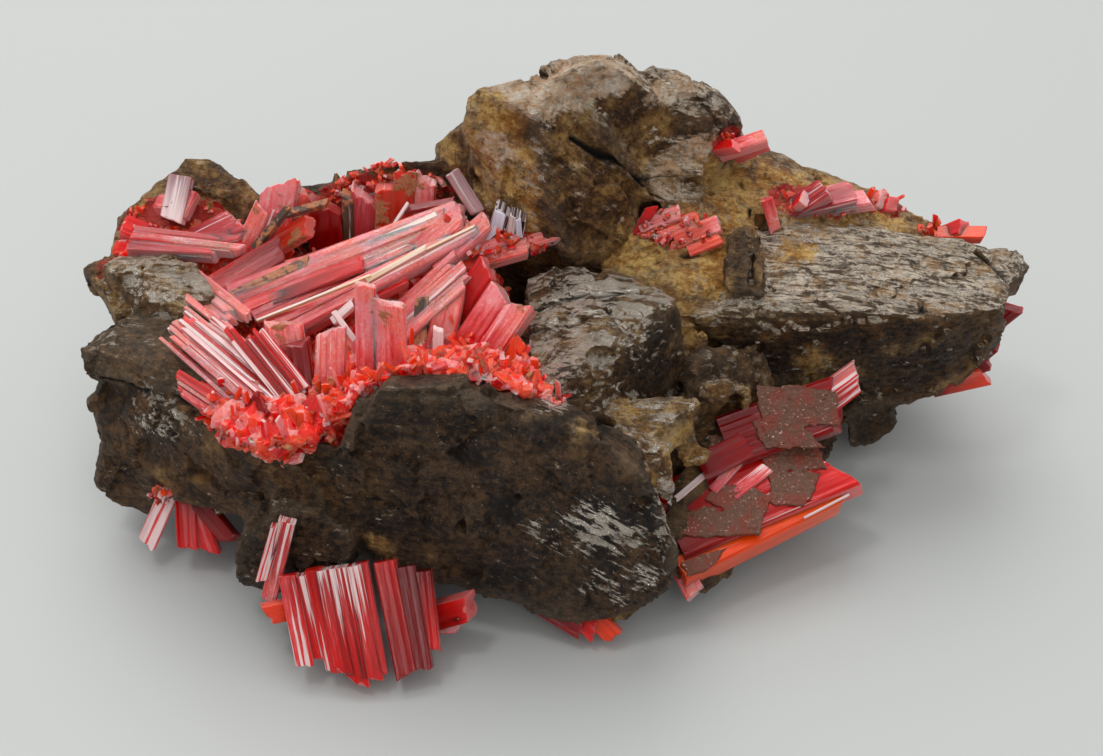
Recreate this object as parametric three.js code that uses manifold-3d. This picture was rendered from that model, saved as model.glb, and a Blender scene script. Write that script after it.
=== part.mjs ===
// Crocoite on matrix: a hand-sized lump of dark iron and manganese oxide rock, with a hollow in its top
// lined with red crocoite prisms, and smaller groups of crocoite growing from its sides and underside.
// Millimetres, +Z up. The lump lies on the flats of its four lowest swellings, at z = 0.
import * as THREE from "three";
import { ConvexGeometry } from "three/addons/geometries/ConvexGeometry.js";
import { TessellateModifier } from "three/addons/modifiers/TessellateModifier.js";
import { ImprovedNoise } from "three/addons/math/ImprovedNoise.js";
import { mergeVertices } from "three/addons/utils/BufferGeometryUtils.js";
import Module from "manifold-3d";

const wasm = await Module();
wasm.setup();

// ---------- driving dimensions ----------
const GRAIN = 13; // longest edge of a rock facet
const COARSE_GRAIN = 16; // and of one that is mostly buried or underneath
const ROUGHNESS = 0.9; // how far the rock's surface wanders from its blocks
const SETBACK = 0.4; // how far it lies inside them on average
const LUMP = 9; // width of the larger lumps of that roughness
const CLEARANCE = 0.4; // gap between a crystal group and the rock that it grows from
const END_SLANT = 0.35; // how steeply a crystal is cut off at its ends
const VUG_SEED = 41; // start of the random sequence for the first group
const WELD = 1e-3; // vertices closer than this are one

const STONE_COLOUR = 0x3a2f26;
const CROCOITE_COLOUR = 0xc8321f;

// ---------- the rock, block by block ----------
// Each block is the hull of its corners. Together they make one piece of rock.
const BLOCKS = {
  front_boulder: [
    [-21, -16, 29], [-18, -17, 32], [-10, -17, 32], [-6, -18.5, 31], [-1, -19, 30], [4, -19.5, 28],
    [8, -20.5, 25], [12, -22.5, 20], [14, -23, 12], [13.5, -23.5, 7], [10, -24.5, 5], [5.5, -26, 4],
    [0, -24.5, 4], [-8, -23.5, 6], [-13.5, -22, 7], [-19, -21, 8], [-22.5, -20, 10], [-25, -19.5, 15],
    [-25, -18.5, 20], [-23, -18, 25], [-5, -24, 18], [-17, -12, 30], [-8, -12, 30], [2, -14, 27],
    [9, -14, 22], [-18, -8, 4], [0, -8, 4], [11, -12, 5],
  ],
  left_bank: [
    [-52, -2, 20], [-44, -5, 22], [-38, -9, 24.5], [-31, -17.5, 23.5], [-26, -19.5, 21],
    [-24.5, -19, 15], [-30, -17, 12], [-36.5, -15, 10], [-44.5, -10, 8], [-49, -8, 9], [-53, -4, 12],
    [-53.5, -3, 17], [-50, 4, 19], [-40, 2, 20], [-30, -10, 20], [-28, -8, 6], [-40, 4, 5],
    [-50, 4, 10],
  ],
  left_slab: [
    [-54, -1.5, 24], [-51, -0.5, 25.5], [-44, -3, 26], [-39, -7.5, 26.5], [-37.5, -9.5, 25.5],
    [-40, -9, 23], [-46, -6.5, 21.5], [-52, -4, 20], [-54, -3, 21], [-50, 5, 24], [-42, 4, 25],
    [-46, 2, 18],
  ],
  left_foot: [
    [-52.5, -5, 12.5], [-54, -7, 8], [-52, -8, 5], [-47, -9.5, 4], [-44.5, -9, 7], [-45, -9, 12],
    [-51, 3, 11], [-42, 3, 8], [-44, 0, 4], [-50, 0, 4],
  ],
  left_brow: [
    [-52.5, 10, 27], [-46, 8, 29], [-41, 8, 28.5], [-38, 3.5, 28], [-43, 2, 26.5], [-50, 6.5, 25.5],
    [-54, 10.5, 21], [-49.5, 4.5, 19], [-43, 1, 20], [-51, 16, 24], [-43, 13, 24], [-42, 8, 12],
    [-51, 12, 12],
  ],
  left_knob: [
    [-56, 13.5, 23.5], [-54.5, 11, 24], [-53, 9.5, 21], [-55.5, 13, 20], [-52, 15, 25], [-51, 13, 19],
  ],
  left_ridge: [
    [-53.5, 20, 23], [-53, 22, 25], [-49, 21.5, 27.5], [-46.5, 25, 29], [-44.5, 26, 30.5],
    [-41, 26, 30.5], [-37.5, 23, 29.5], [-34.5, 21.5, 27.5], [-37, 19.5, 25.5], [-42, 19, 22.5],
    [-50, 17, 22], [-53, 14, 22], [-44, 32, 22], [-35, 30, 20], [-51, 27, 19], [-50, 16, 12],
    [-40, 17, 10], [-38, 29, 10],
  ],
  rear_ridge: [
    [-35, 21.5, 26.5], [-32.5, 24, 27.5], [-29, 22.5, 27.5], [-25, 22.5, 29], [-22, 22.5, 30.5],
    [-17.5, 23, 32.5], [-13, 23, 32.5], [-12, 21, 28.5], [-16, 20.5, 26], [-23, 20, 23.5],
    [-32, 19.5, 23], [-39, 28, 22], [-38, 24, 26], [-33, 29, 20], [-20, 31, 22], [-7, 29, 26],
    [-7, 20, 27], [-37, 20, 10], [-7, 17, 12], [-8, 29, 10], [-36, 28, 10],
  ],
  tower_pillar: [
    [-9.1, 16, 47.3], [-9.7, 15, 44.1], [-1.8, 18, 46.9], [2.1, 19, 47.3], [-2, 13.5, 45.8],
    [2.4, 17.3, 43.8], [8.4, 16.8, 35.7], [11.1, 17, 32], [10.5, 14.8, 30.2], [6.1, 10.6, 28.2],
    [0.5, 9.3, 32.9], [2.1, 9, 29.4], [-7.4, 13, 32.5], [-6, 13.5, 28], [-10.3, 18, 38], [-9, 26, 40],
    [3, 26, 42], [9, 26, 36], [-9, 29, 20], [9, 29, 20], [-7, 17, 14], [8, 13, 14],
  ],
  tower_back: [
    [-1.8, 18, 46.9], [2.1, 18.5, 47.7], [5.2, 18.7, 49.8], [7.9, 19.5, 47.8], [9.9, 20, 45.7],
    [5.2, 18.5, 45.3], [10.2, 20.5, 42.9], [16.2, 22, 38.9], [16.7, 22, 34.3], [12.8, 20, 34.9],
    [9.3, 19, 36.7], [-1, 26, 44], [8, 27, 45], [16, 29, 37], [8, 31, 20], [17, 29, 20], [10, 18, 20],
  ],
  tower_fin: [
    [1.8, 16.8, 44.6], [4.4, 17.3, 44.2], [9.3, 17.2, 37.2], [12.4, 17, 33], [12.4, 15.6, 31],
    [10.4, 15.5, 33.4], [5.6, 15.8, 39.8], [4, 21, 42], [12, 21, 34], [12, 20, 28], [8, 20, 28],
  ],
  tower_right: [
    [10.2, 24, 44.6], [11.3, 25, 44.7], [14.8, 25, 43.9], [17.4, 25, 42.3], [19.4, 25, 41.5],
    [19.8, 24, 40.2], [22.4, 24.5, 37.9], [23.1, 25, 35.6], [10.2, 21.5, 42.3], [12.7, 22, 40],
    [16.2, 21.5, 39.5], [19.6, 22, 38.9], [10.4, 21, 35.3], [16.6, 20.5, 35.3], [20, 20.7, 33.3],
    [23.1, 23.5, 34.9], [22.5, 24, 31], [12, 29, 42], [20, 30, 37], [22, 31, 20], [10, 31, 20],
    [12, 22, 18], [21, 23, 18],
  ],
  ledge_upper: [
    [10.9, 18.3, 34.9], [13.4, 20.2, 35.6], [17.8, 19.2, 34.3], [18, 18, 33.5], [12.2, 17.2, 33.9],
    [11.4, 17.6, 33.1], [17.8, 17.8, 32.9], [12, 24, 34.5], [19, 24, 33], [12, 24, 31], [19, 24, 31],
  ],
  ledge_lower: [
    [11.9, 17, 32.9], [17.9, 16.4, 32.1], [13.3, 15.4, 31.9], [17, 15.4, 31.4], [13, 15.4, 30.5],
    [17.5, 15.7, 30.3], [12, 22, 32], [19, 22, 31], [12, 22, 29], [19, 22, 29],
  ],
  tower_step: [
    [-14.5, 25, 33], [-13, 24, 35.5], [-10, 21, 39], [-9, 19, 33], [-13.5, 24, 30], [-8, 28, 38],
    [-12, 28, 31], [-8, 20, 26],
  ],
  middle_block: [
    [-3.1, 5.4, 28.8], [1.5, 6.4, 30], [6.4, 5, 30.3], [9.8, 2.5, 30.5], [12.1, 1.6, 30.5],
    [14, 0, 30], [14, -0.6, 28.8], [8.4, -2.8, 31], [6.2, -4.5, 31.2], [5.9, -7.1, 30],
    [2.9, -10.5, 29.5], [0.3, -12.5, 28.5], [-0.9, -13.2, 28], [-3.1, 1.1, 28], [-2.5, -6, 26.5],
    [4.8, -13, 23.2], [9.5, -6.3, 22.6], [10, -4.5, 25.7], [15.8, 0, 21.4], [14, -2.6, 18.7],
    [-4, 4, 14], [-2, -11, 14], [10, -4, 12], [15, 3, 12],
  ],
  middle_fin: [
    [14, 1.5, 27.2], [15.6, 1.8, 26], [17.9, 1.2, 23.2], [17, -0.6, 20.3], [15.4, -1, 21], [15, 3, 19],
    [18, 3, 19], [14, -0.2, 25],
  ],
  upper_chip: [
    [6.2, -10.6, 24], [10.1, -9.8, 24.2], [16, -9.3, 23.2], [13.8, -12.1, 22.5], [12.9, -13, 20.5],
    [6.2, -12.1, 23], [16.6, -9.7, 21.5], [16.3, -10.9, 18.5], [13.5, -13.4, 19], [6, -9, 15],
    [10, -4, 15], [15, -5, 15], [16, -6, 18],
  ],
  lower_chip: [
    [4.4, -14.2, 24], [6.7, -13.4, 23.8], [10, -13.9, 22.9], [13.4, -14.2, 20.3], [13.6, -16.8, 14.7],
    [10, -18.1, 18.3], [8.6, -18.2, 19.9], [5.6, -16.8, 23.4], [12, -9, 17], [13.5, -11, 12],
    [8, -12, 14],
  ],
  ochre_chip: [
    [14, -12, 17.8], [16.1, -11, 18.2], [18.2, -11, 16.8], [17.6, -12.3, 15.8], [14.9, -13.2, 15.2],
    [15, -8, 14], [18, -8, 13.5],
  ],
  saddle_front: [
    [6, 10.5, 26], [9, 14.5, 28], [12.2, 15.9, 29.8], [16.3, 16.6, 31.2], [20.7, 19.5, 31],
    [24.5, 17, 30], [24, 14.5, 28.5], [21, 6.5, 25.5], [13, 6, 27], [16, 4, 24], [8, 6, 20],
    [8, 18, 14], [24, 22, 14], [22, 8, 14],
  ],
  saddle_rear: [
    [14, 24, 31], [20.5, 26, 32], [25.5, 28, 31], [27.5, 26, 29.5], [30, 27.5, 28.5], [34.5, 27, 27.5],
    [38, 24.5, 26.5], [42, 21, 25.5], [47, 20.5, 25], [22, 18, 29], [30, 17, 27.5], [46, 15, 25],
    [24, 36, 19], [36, 33, 17], [48, 26, 16], [16, 34, 19], [48, 18, 10], [36, 29, 7], [18, 31, 7],
    [16, 20, 10],
  ],
  saddle_post: [
    [20.3, 13.1, 29.9], [22.8, 13.4, 30.2], [22.8, 9, 29.4], [20.2, 9, 29.3], [22.7, 4.8, 27],
    [20.1, 4.9, 26.7], [20.3, 8, 22], [22.7, 8, 22],
  ],
  thin_post: [
    [23.7, 13, 30.1], [24.8, 13, 29.9], [24.4, 4.4, 26.9], [23.4, 4.4, 26.8], [23.6, 8, 22],
    [24.6, 8, 22],
  ],
  right_slab: [
    [20, 13, 27], [27, 17, 28], [36.5, 16.5, 28], [45.5, 15.5, 27], [52, 15, 26], [54.5, 11, 23.5],
    [54, 9, 16], [52.8, 9, 14], [51.3, 8.3, 11], [47.3, 7.5, 8], [43.9, 7.5, 6.5], [37.5, 7.8, 8],
    [27.2, 5, 13], [19.5, 3.7, 20], [16, 3.7, 24], [21.7, 4.5, 26], [28.5, 3.2, 26], [35.3, 2.2, 26],
    [44.7, 3.2, 25], [52.4, 5.2, 24], [50, 20, 12], [40, 24, 8], [22, 20, 8],
  ],
  right_tip: [
    [51, 14, 25.8], [55.3, 15.8, 25], [57.5, 14.6, 23], [56, 12.6, 20], [54, 10, 21], [52.5, 9, 24],
    [52, 19, 22], [51, 12, 18],
  ],
  right_foot: [
    [42.5, 8, 8], [41.5, 6, 4], [39.3, 5, 2], [36.4, 4, 3], [36, 4.5, 8], [38, 10, 10], [43, 14, 8],
    [42, 13, 3], [36, 12, 3],
  ],
  rubble: [
    [16, -1, 23.2], [20, 1.5, 22.2], [25, 3, 20.2], [26, 0, 17.8], [21, -2, 18.3], [16.5, -3, 20],
    [14, -2, 12], [26, 3, 12], [24, -4, 12], [15, -7, 12],
  ],
  rubble_left: [
    [17.6, -4.9, 21.4], [20.7, -3.9, 21.4], [20.9, -4.9, 19.8], [18.4, -5.8, 18.6], [16.6, -5.4, 20],
    [17, -1, 18], [21, -1, 18], [19, -3, 14],
  ],
  rubble_right: [
    [21.2, -4.1, 20.5], [23, -3.1, 20.3], [23.2, -4.9, 18.3], [21.6, -5.2, 17.8], [21.2, -1.2, 18],
    [23, -1.2, 18], [22, -3, 14],
  ],
  small_block: [
    [-35.5, -21.4, 10], [-33.8, -20.5, 14], [-29.3, -19, 17], [-25.2, -20.7, 18], [-21.5, -22.5, 14],
    [-24.1, -23.1, 7], [-31.2, -22.4, 4.5], [-36.1, -20.4, 4.5], [-34, -12, 12], [-22, -12, 12],
    [-32, -12, 5], [-22, -14, 5],
  ],
  front_notch: [
    [-31, -16.5, 22], [-24, -17.5, 24.5], [-21.5, -18.5, 20], [-22.5, -20.5, 14], [-30, -19.5, 13],
    [-32, -17, 18], [-24, -12, 20], [-30, -12, 20], [-28, -12, 12],
  ],
  under_front: [
    [-4, -22, 5], [3, -25.5, 3.5], [9, -24.5, 3], [13, -22, 5], [10, -12, 3], [-4, -12, 3],
    [2, -18, 12],
  ],
  right_keel: [
    [14, -18.5, 8], [18, -19, 5], [17.5, -20.5, 3], [21, -17, 3], [15, -20.5, 5], [30, -3, 6],
    [35, 2, 6], [22, -3, 14], [34, 5, 12], [14, -10, 12], [18, -10, 3], [28, 2, 3], [11, -21, 9],
    [11, -12, 4],
  ],
  // the broad body under the hollow, down to the four swellings that it lies on
  body: [
    [-46, -2, 7], [-30, -13, 5], [-8, -17, 4], [10, -17, 4], [26, -2, 5], [46, 13, 7], [48, 20, 10],
    [42, 27, 8], [20, 32, 6], [-10, 31, 6], [-38, 28, 8], [-50, 18, 9], [-44, 4, 14], [-28, -9, 14],
    [-6, -11, 14], [12, -8, 14], [30, 6, 14], [40, 18, 15], [18, 28, 15], [-12, 27, 14], [-40, 20, 14],
  ],
  foot_left: [
    [-48, 2, 9], [-36, -8, 8], [-24, 6, 8], [-34, 18, 8], [-41, 2, -1], [-34, -3, -1], [-31, 5, -1],
    [-38, 8, -1],
  ],
  foot_right: [
    [18, 8, 8], [30, 0, 8], [44, 12, 8], [34, 26, 8], [20, 22, 8], [28, 9, -1], [36, 12, -1],
    [34, 18, -1], [27, 17, -1],
  ],
  foot_front: [
    [-16, -14, 7], [-2, -18, 5], [12, -14, 6], [8, -2, 7], [-12, -2, 7], [-6, -13, -1], [2, -14, -1],
    [5, -8, -1], [-5, -8, -1],
  ],
  foot_rear: [
    [-22, 22, 8], [-8, 12, 7], [8, 18, 7], [2, 30, 8], [-14, 30, 8], [-9, 19, -1], [-1, 20, -1],
    [0, 25, -1], [-8, 26, -1],
  ],
};

const BURIED = [
  "body", "foot_left", "foot_right", "foot_front", "foot_rear", "right_keel", "saddle_rear", "under_front",
];

// ---------- the crystals, group by group ----------
// A crystal is [start and end of its middle line, width, thickness, the way its broad faces look].
// A fan is [two starts, two ends, width, thickness, count]: crystals side by side between its two edges.
const UP = [0, -0.3, 1];
const FRONT = [0, -1, 0.5];

const VUG = {
  bed: [
    [
      [-44, 8, 13], [-44, 8, 22], [-36, -8, 13], [-36, -8, 22], [-24, -16, 13], [-24, -16, 23],
      [-8, -14, 13], [-8, -14, 24], [-3, 0, 13], [-3, 0, 24], [-8, 14, 13], [-8, 14, 25], [-30, 19, 13],
      [-30, 19, 22], [-44, 16, 13], [-44, 16, 22],
    ],
    [
      [-20, -12, 20], [-20, -12, 25.5], [-7, -13, 25], [-3.5, -8, 26], [-4, -3, 27], [-8, -1, 26.5],
      [-18, -4, 25.5], [-6, -13, 20], [-4, -3, 20], [-18, -2, 20],
    ],
    [
      [-39, -10, 18], [-39, -11, 24.5], [-32.5, -17.5, 25], [-26, -18, 25], [-25, -12, 26], [-36, -8, 25.5],
      [-28, -16, 18], [-26, -10, 18],
    ],
    [
      [-52, 16, 24], [-50, 20, 25.5], [-36, 20, 26], [-34, 14, 25], [-50, 13, 24], [-50, 13, 18],
      [-34, 13, 18], [-36, 20, 18], [-50, 20, 18],
    ],
  ],
  fans: [
    // the long ones that run from the left edge up to the foot of the tall block
    [[-37.5, 6.5, 25], [-31, -1, 25], [-11, 14, 31.5], [-8.5, 9.5, 31.5], 2.7, 2, 5],
    [[-32, 6, 24.5], [-29, 0, 24.5], [-15, 11, 29.5], [-12, 6.5, 29.5], 2.6, 2, 3],
    // the fluted ones right of the upright pair
    [[-18.5, 3, 25.5], [-17.5, -3, 25], [-10.5, 7.5, 31], [-8.5, 3, 30], 2.4, 1.8, 3],
    // the slender ones that fan out over the left bank
    [[-28, -12, 25], [-33, -14.5, 24], [-41, 1, 29], [-44, -4, 28], 1.6, 1.2, 6],
    [[-26.5, -10, 25.5], [-29.5, -12, 25], [-31.5, -5, 29.3], [-37, -4, 29.5], 1.4, 1.1, 3],
    [[-31, -15, 23.5], [-33, -16, 23], [-41, -8, 27], [-43, -9.5, 26], 1.6, 1.2, 2],
    // the ones that lie across the left edge and along it
    [[-42.5, 10.5, 26], [-42.5, 7, 25.5], [-32.5, 0, 26.5], [-37, -2, 26.5], 1.9, 1.5, 3],
    [[-49.5, 16.8, 26.7], [-50, 13.5, 25.8], [-34, 13, 27.4], [-38, 11, 26.8], 2.6, 1.6, 3],
  ],
  crystals: [
    // the flat upright pair
    [[-20.4, -10, 23], [-20.3, -4, 35.5], 2.2, 1.6, FRONT],
    [[-17.7, -10, 23], [-17.7, -5, 34], 3.5, 1.8, FRONT],
    // the broad end faces right of the pair
    [[-11.5, 1.5, 25], [-7, 5.2, 30.6], 2.8, 2.4, UP],
    [[-10.5, -3.5, 24], [-5.4, 1.2, 30.2], 2.9, 2.8, UP],
    [[-8.5, -6.5, 24], [-3.4, -1.8, 30.2], 2.8, 2.8, UP],
    [[-13, -5, 24], [-11.4, 2.5, 28.4], 3.0, 2.0, UP],
    [[-15, -3.5, 24], [-14.6, 2.5, 28.2], 1.7, 1.4, UP],
    [[-16.8, -7.5, 25], [-6.3, -6.2, 27], 3.2, 1.8, UP],
    // small plates in front of the pair and beside it
    [[-24.6, -9.5, 24], [-24.3, -4.8, 29.8], 3.3, 1.6, FRONT],
    [[-29, -6, 24], [-30, -2.5, 28.8], 4.0, 3.6, UP],
    [[-27.8, -9, 24], [-28.5, -5, 28], 3.2, 2.4, FRONT],
    [[-22, -14.5, 23], [-18, -11.5, 26], 2.6, 2, UP],
    [[-28, -16.5, 22], [-24.5, -13, 26], 2.6, 2.2, UP],
    [[-34.5, -14.5, 22], [-31, -12.5, 25.6], 3, 2.2, UP],
    [[-10, -10.5, 24], [-5, -7.5, 27.6], 2.6, 2, UP],
    [[-14, -12, 24], [-9, -10.5, 27], 3, 2, UP],
    [[-6, -7, 24], [-3.2, -4.5, 27.8], 2.2, 2, UP],
    // straw-coloured ones and dark plates among the long ones
    [[-21, 3.3, 29.8], [-14.3, 6.9, 31.7], 1.0, 0.8, UP],
    [[-21.5, 9.8, 29.6], [-13.2, 12.8, 32], 0.9, 0.8, UP],
    [[-39.5, 7.5, 25], [-31.5, 11.7, 27.6], 3.0, 1.8, UP],
    [[-38, 5, 25.3], [-28, 8.8, 28.4], 1.6, 1.4, UP],
    [[-32, 4.2, 26], [-21.5, 6.8, 29.4], 1.5, 1.5, UP],
    // the smooth ones at their upper end
    [[-16.5, 8, 29], [-10, 12, 32.6], 2.8, 2.2, UP],
    // plates at the foot of the two rear ridges
    [[-45.5, 17.5, 23.5], [-51.5, 18.5, 26], 2.6, 1.6, UP],
    [[-43.6, 15.8, 24.6], [-37, 16, 28.6], 3.6, 1.6, UP],
    [[-37, 13, 25], [-34, 16.5, 30.3], 2.2, 2, FRONT],
    [[-34.8, 13.2, 25], [-32.4, 16.4, 29.8], 1.6, 1.8, FRONT],
    [[-33.5, 15.2, 25], [-28.5, 15.6, 28.2], 2.6, 1.6, UP],
    [[-27, 17, 22], [-27, 19.5, 28.6], 4, 3, FRONT],
    [[-24.3, 17, 22], [-24.3, 20, 29.6], 1.3, 2.4, FRONT],
    // the dark mirrors and the ragged shelf at the foot of the tall block
    [[-8, 11.5, 27.5], [-5.2, 14, 34], 2.2, 1.6, FRONT],
    [[-5.8, 11, 28.5], [-3.5, 13.2, 32.8], 1.6, 1.6, FRONT],
    [[-13, 8.5, 28.6], [-4, 10.4, 31], 2.4, 1.6, UP],
    [[-9, 8.2, 28.8], [1.5, 10.6, 31], 1.8, 1.4, UP],
    // the glassy ones along the crest of the rear ridge
    [[-23, 17.5, 22], [-22.3, 21, 30.4], 3.2, 3, FRONT],
    [[-20.2, 17.5, 22], [-19.7, 21.5, 31.4], 2.4, 3, FRONT],
    [[-18, 17.5, 23], [-17.2, 21.6, 33.2], 2.8, 3, FRONT],
    [[-15.4, 17, 24], [-14.8, 21.4, 33], 2.4, 2.6, FRONT],
    // in the notch between the two rear ridges
    [[-33.5, 18, 24], [-32.4, 21.5, 29.8], 4.2, 3.2, FRONT],
    [[-30.6, 18, 24], [-29.6, 21.5, 28.8], 2.4, 3, FRONT],
  ],
};

const GROUPS = {
  left_ridge_crystals: {
    crystals: [
      [[-44.3, 22, 30.5], [-45.3, 17.8, 27.2], 2.6, 2.4, UP],
      [[-47, 20, 28], [-45, 19, 28.5], 2, 2, UP],
      [[-43, 21, 29], [-44.5, 18, 27], 1.6, 2, UP],
    ],
  },
  rim_crystal: { crystals: [[[-11.5, 15, 36.5], [-8.5, 13, 32], 1.5, 1.1, UP]] },
  saddle_crystals: {
    crystals: [
      [[10.4, 14.4, 28.7], [15.2, 15, 30.6], 2.0, 1.6, [0.1, -0.4, 0.9]],
      [[12, 12.9, 28.4], [17.4, 14.2, 30.2], 2.2, 1.6, [0.1, -0.4, 0.9]],
      [[14.4, 11.9, 28.6], [19.8, 13.6, 30], 2.2, 1.6, [0.1, -0.4, 0.9]],
      [[15.8, 10.9, 28.2], [19.6, 12, 29.1], 1.8, 1.4, [0.1, -0.4, 0.9]],
      [[9.8, 13.8, 27.6], [11.8, 15.6, 31.2], 1.2, 1.2, FRONT],
    ],
  },
  saddle_sliver: { crystals: [[[25.3, 16.5, 31.5], [26.6, 15.5, 27.5], 1.4, 1.2, FRONT]] },
  tower_crystals: {
    crystals: [
      [[20, 21.5, 34.5], [25.2, 20.5, 37.4], 1.8, 1.6, UP],
      [[22, 22.5, 33.5], [25.6, 21, 36.4], 1.8, 1.6, UP],
      [[19.6, 21.5, 35], [21.8, 19.6, 37], 1.4, 1.4, UP],
    ],
  },
  rear_crystals: {
    crystals: [
      [[27.5, 19.5, 26], [32.8, 19.2, 31], 3, 2, UP],
      [[28.5, 19.5, 27.6], [36, 19.5, 30], 3, 2, UP],
      [[32, 19.5, 28], [38, 19.2, 29.2], 2.4, 2, UP],
      [[28.5, 20.5, 26], [30.2, 18.5, 30.2], 2.2, 1.6, UP],
    ],
  },
  rear_edge_crystals: {
    crystals: [
      [[36.6, 22, 24.5], [40, 21.5, 27.8], 2, 1.6, UP],
      [[38.4, 22, 24], [41.2, 21, 27.4], 1.6, 1.6, UP],
    ],
  },
  rear_corner_crystals: {
    crystals: [
      [[45.5, 19, 23], [49.6, 18.2, 26.2], 2, 1.6, UP],
      [[46.5, 18.5, 24.6], [51.8, 17.2, 25.6], 1.8, 1.6, UP],
    ],
  },
  right_end_crystals: {
    crystals: [
      [[46.5, 9, 8.5], [53, 9.5, 10], 2.2, 2.6, FRONT],
      [[48, 11, 9], [53.2, 10.5, 11.5], 2.4, 2.4, FRONT],
      [[50, 12, 8], [53.4, 10.5, 14.5], 2, 2, FRONT],
      [[51, 13, 12], [55.8, 13, 17.8], 2, 2, FRONT],
    ],
  },
  large_crystals: {
    crystals: [
      [[13, -14.5, 7.9], [31.6, -6.3, 10.5], 9.4, 4.2, [-0.1, -0.4, 1]],
      [[14, -20, 5.6], [33.6, -9.2, 8.4], 2.4, 4.0, [-0.1, -0.4, 1]],
      [[17, -9.5, 12.5], [22.6, -7, 14], 3, 1.4, [-0.2, -0.6, 1]],
      [[20, -5.5, 12.5], [33.2, -1.9, 15.6], 6, 4.5, [-0.2, -0.8, 1]],
      [[30.5, -1.6, 14.6], [36, 0.4, 18.6], 3, 3, [0.6, -0.8, 0.4]],
      [[14.5, -18, 6], [16.4, -20.8, 3.6], 2.4, 2.2, FRONT],
      [[18.4, -11.6, 11], [22.4, -7.2, 12.7], 1.1, 0.7, [-0.1, -0.4, 1]],
      [[20.6, -12, 10.8], [25, -8.6, 12], 1.6, 0.7, [-0.1, -0.4, 1]],
    ],
  },
  bottom_crystals: {
    crystals: [
      [[-1, -23, 4.5], [3.5, -24.8, 2.5], 2.2, 2, FRONT],
      [[1, -22, 4.5], [5, -25.2, 2.2], 2.2, 2, FRONT],
      [[3.5, -22, 4], [7.2, -25.4, 1.6], 2.2, 2, FRONT],
    ],
  },
  hanging_crystals: {
    crystals: [
      [[-27.5, -25, 6.5], [-31.6, -26.5, 6.7], 2.2, 1.8, FRONT],
      [[-28.9, -24.5, 11], [-27.2, -30.2, 3], 1.9, 1.9, FRONT],
      [[-27.5, -24.5, 11], [-25.6, -29.7, 2.8], 2.0, 2, FRONT],
      [[-26, -24.5, 12], [-23.9, -30.6, 2.4], 1.8, 2, FRONT],
      [[-24.8, -24.5, 12], [-22.6, -31.2, 2.4], 2.0, 2.1, FRONT],
      [[-23.6, -24.3, 12], [-21.3, -31.8, 1.4], 2.4, 2.2, FRONT],
      [[-22, -24, 12], [-19.6, -31.6, 1.7], 2.2, 2.1, FRONT],
      [[-20.8, -23.5, 12], [-18.4, -31.1, 2.5], 1.5, 2, FRONT],
      [[-18.6, -22.8, 11.5], [-16.2, -31.2, 1.8], 3.0, 2.8, FRONT],
      [[-16.4, -23.2, 11], [-14.4, -30.6, 2.3], 2.6, 2.6, FRONT],
      [[-14.4, -23.4, 10.5], [-13.7, -28.8, 3.6], 2.4, 2.4, FRONT],
      [[-14, -24, 3.4], [-8.9, -25.6, 7.2], 3.0, 2.4, FRONT],
      [[-14, -24.2, 2.6], [-10, -26, 4.8], 2, 1.8, FRONT],
    ],
  },
  lower_left_crystals: {
    crystals: [
      [[-44, -7.5, 8.5], [-47.2, -12.2, 3], 2.2, 2, FRONT],
      [[-42.5, -8, 8.5], [-42, -13.4, 3.4], 2.4, 2.2, FRONT],
      [[-42, -8.5, 8], [-39.6, -13.4, 3], 2.2, 2, FRONT],
      [[-41, -9.5, 7.5], [-36.8, -13.6, 5], 2, 2, FRONT],
    ],
  },
  silver_crystal: {
    crystals: [
      [[-28.8, -21.5, 16.5], [-31.6, -24, 6], 1.8, 1.4, FRONT],
      [[-30, -21.5, 15.5], [-32, -23.6, 9], 1.3, 1.4, FRONT],
    ],
  },
};

// ---------- tools ----------
// A repeatable sequence of numbers from 0 to 1.
function dice(seed) {
  let state = seed;
  return () => (state = (state * 16807) % 2147483647) / 2147483647;
}

function bare(geometry) {
  geometry.deleteAttribute("normal");
  geometry.deleteAttribute("uv");
  return mergeVertices(geometry, WELD);
}

function solidOf(geometry) {
  const merged = bare(geometry);
  return new wasm.Manifold(
    new wasm.Mesh({
      numProp: 3,
      vertProperties: new Float32Array(merged.attributes.position.array),
      triVerts: new Uint32Array(merged.index.array),
    }),
  );
}

function join(solids) {
  return solids.reduce((whole, next) => whole.add(next));
}

// Only the largest of a solid's separate bodies.
function mainBody(solid) {
  return solid.decompose().reduce((a, b) => (b.volume() > a.volume() ? b : a));
}

function geometryOf(solid) {
  const mesh = solid.getMesh();
  const points = new Float32Array(mesh.numVert * 3);
  for (let i = 0; i < mesh.numVert; i++) {
    const start = i * mesh.numProp;
    points.set(mesh.vertProperties.subarray(start, start + 3), i * 3);
  }
  const geometry = new THREE.BufferGeometry();
  geometry.setAttribute("position", new THREE.BufferAttribute(points, 3));
  geometry.setIndex(new THREE.BufferAttribute(mesh.triVerts, 1));
  return geometry;
}

// ---------- rock ----------
const noise = new ImprovedNoise();

// The wandering of a broken surface: broad lumps, with small ones on them.
function wander(p) {
  const broad = noise.noise(p.x / LUMP, p.y / LUMP, p.z / LUMP);
  const fine = noise.noise((p.x / LUMP) * 2.3 + 7, (p.y / LUMP) * 2.3, (p.z / LUMP) * 3.4);
  return ROUGHNESS * (broad * 1.4 + fine * 0.9) - SETBACK;
}

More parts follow.
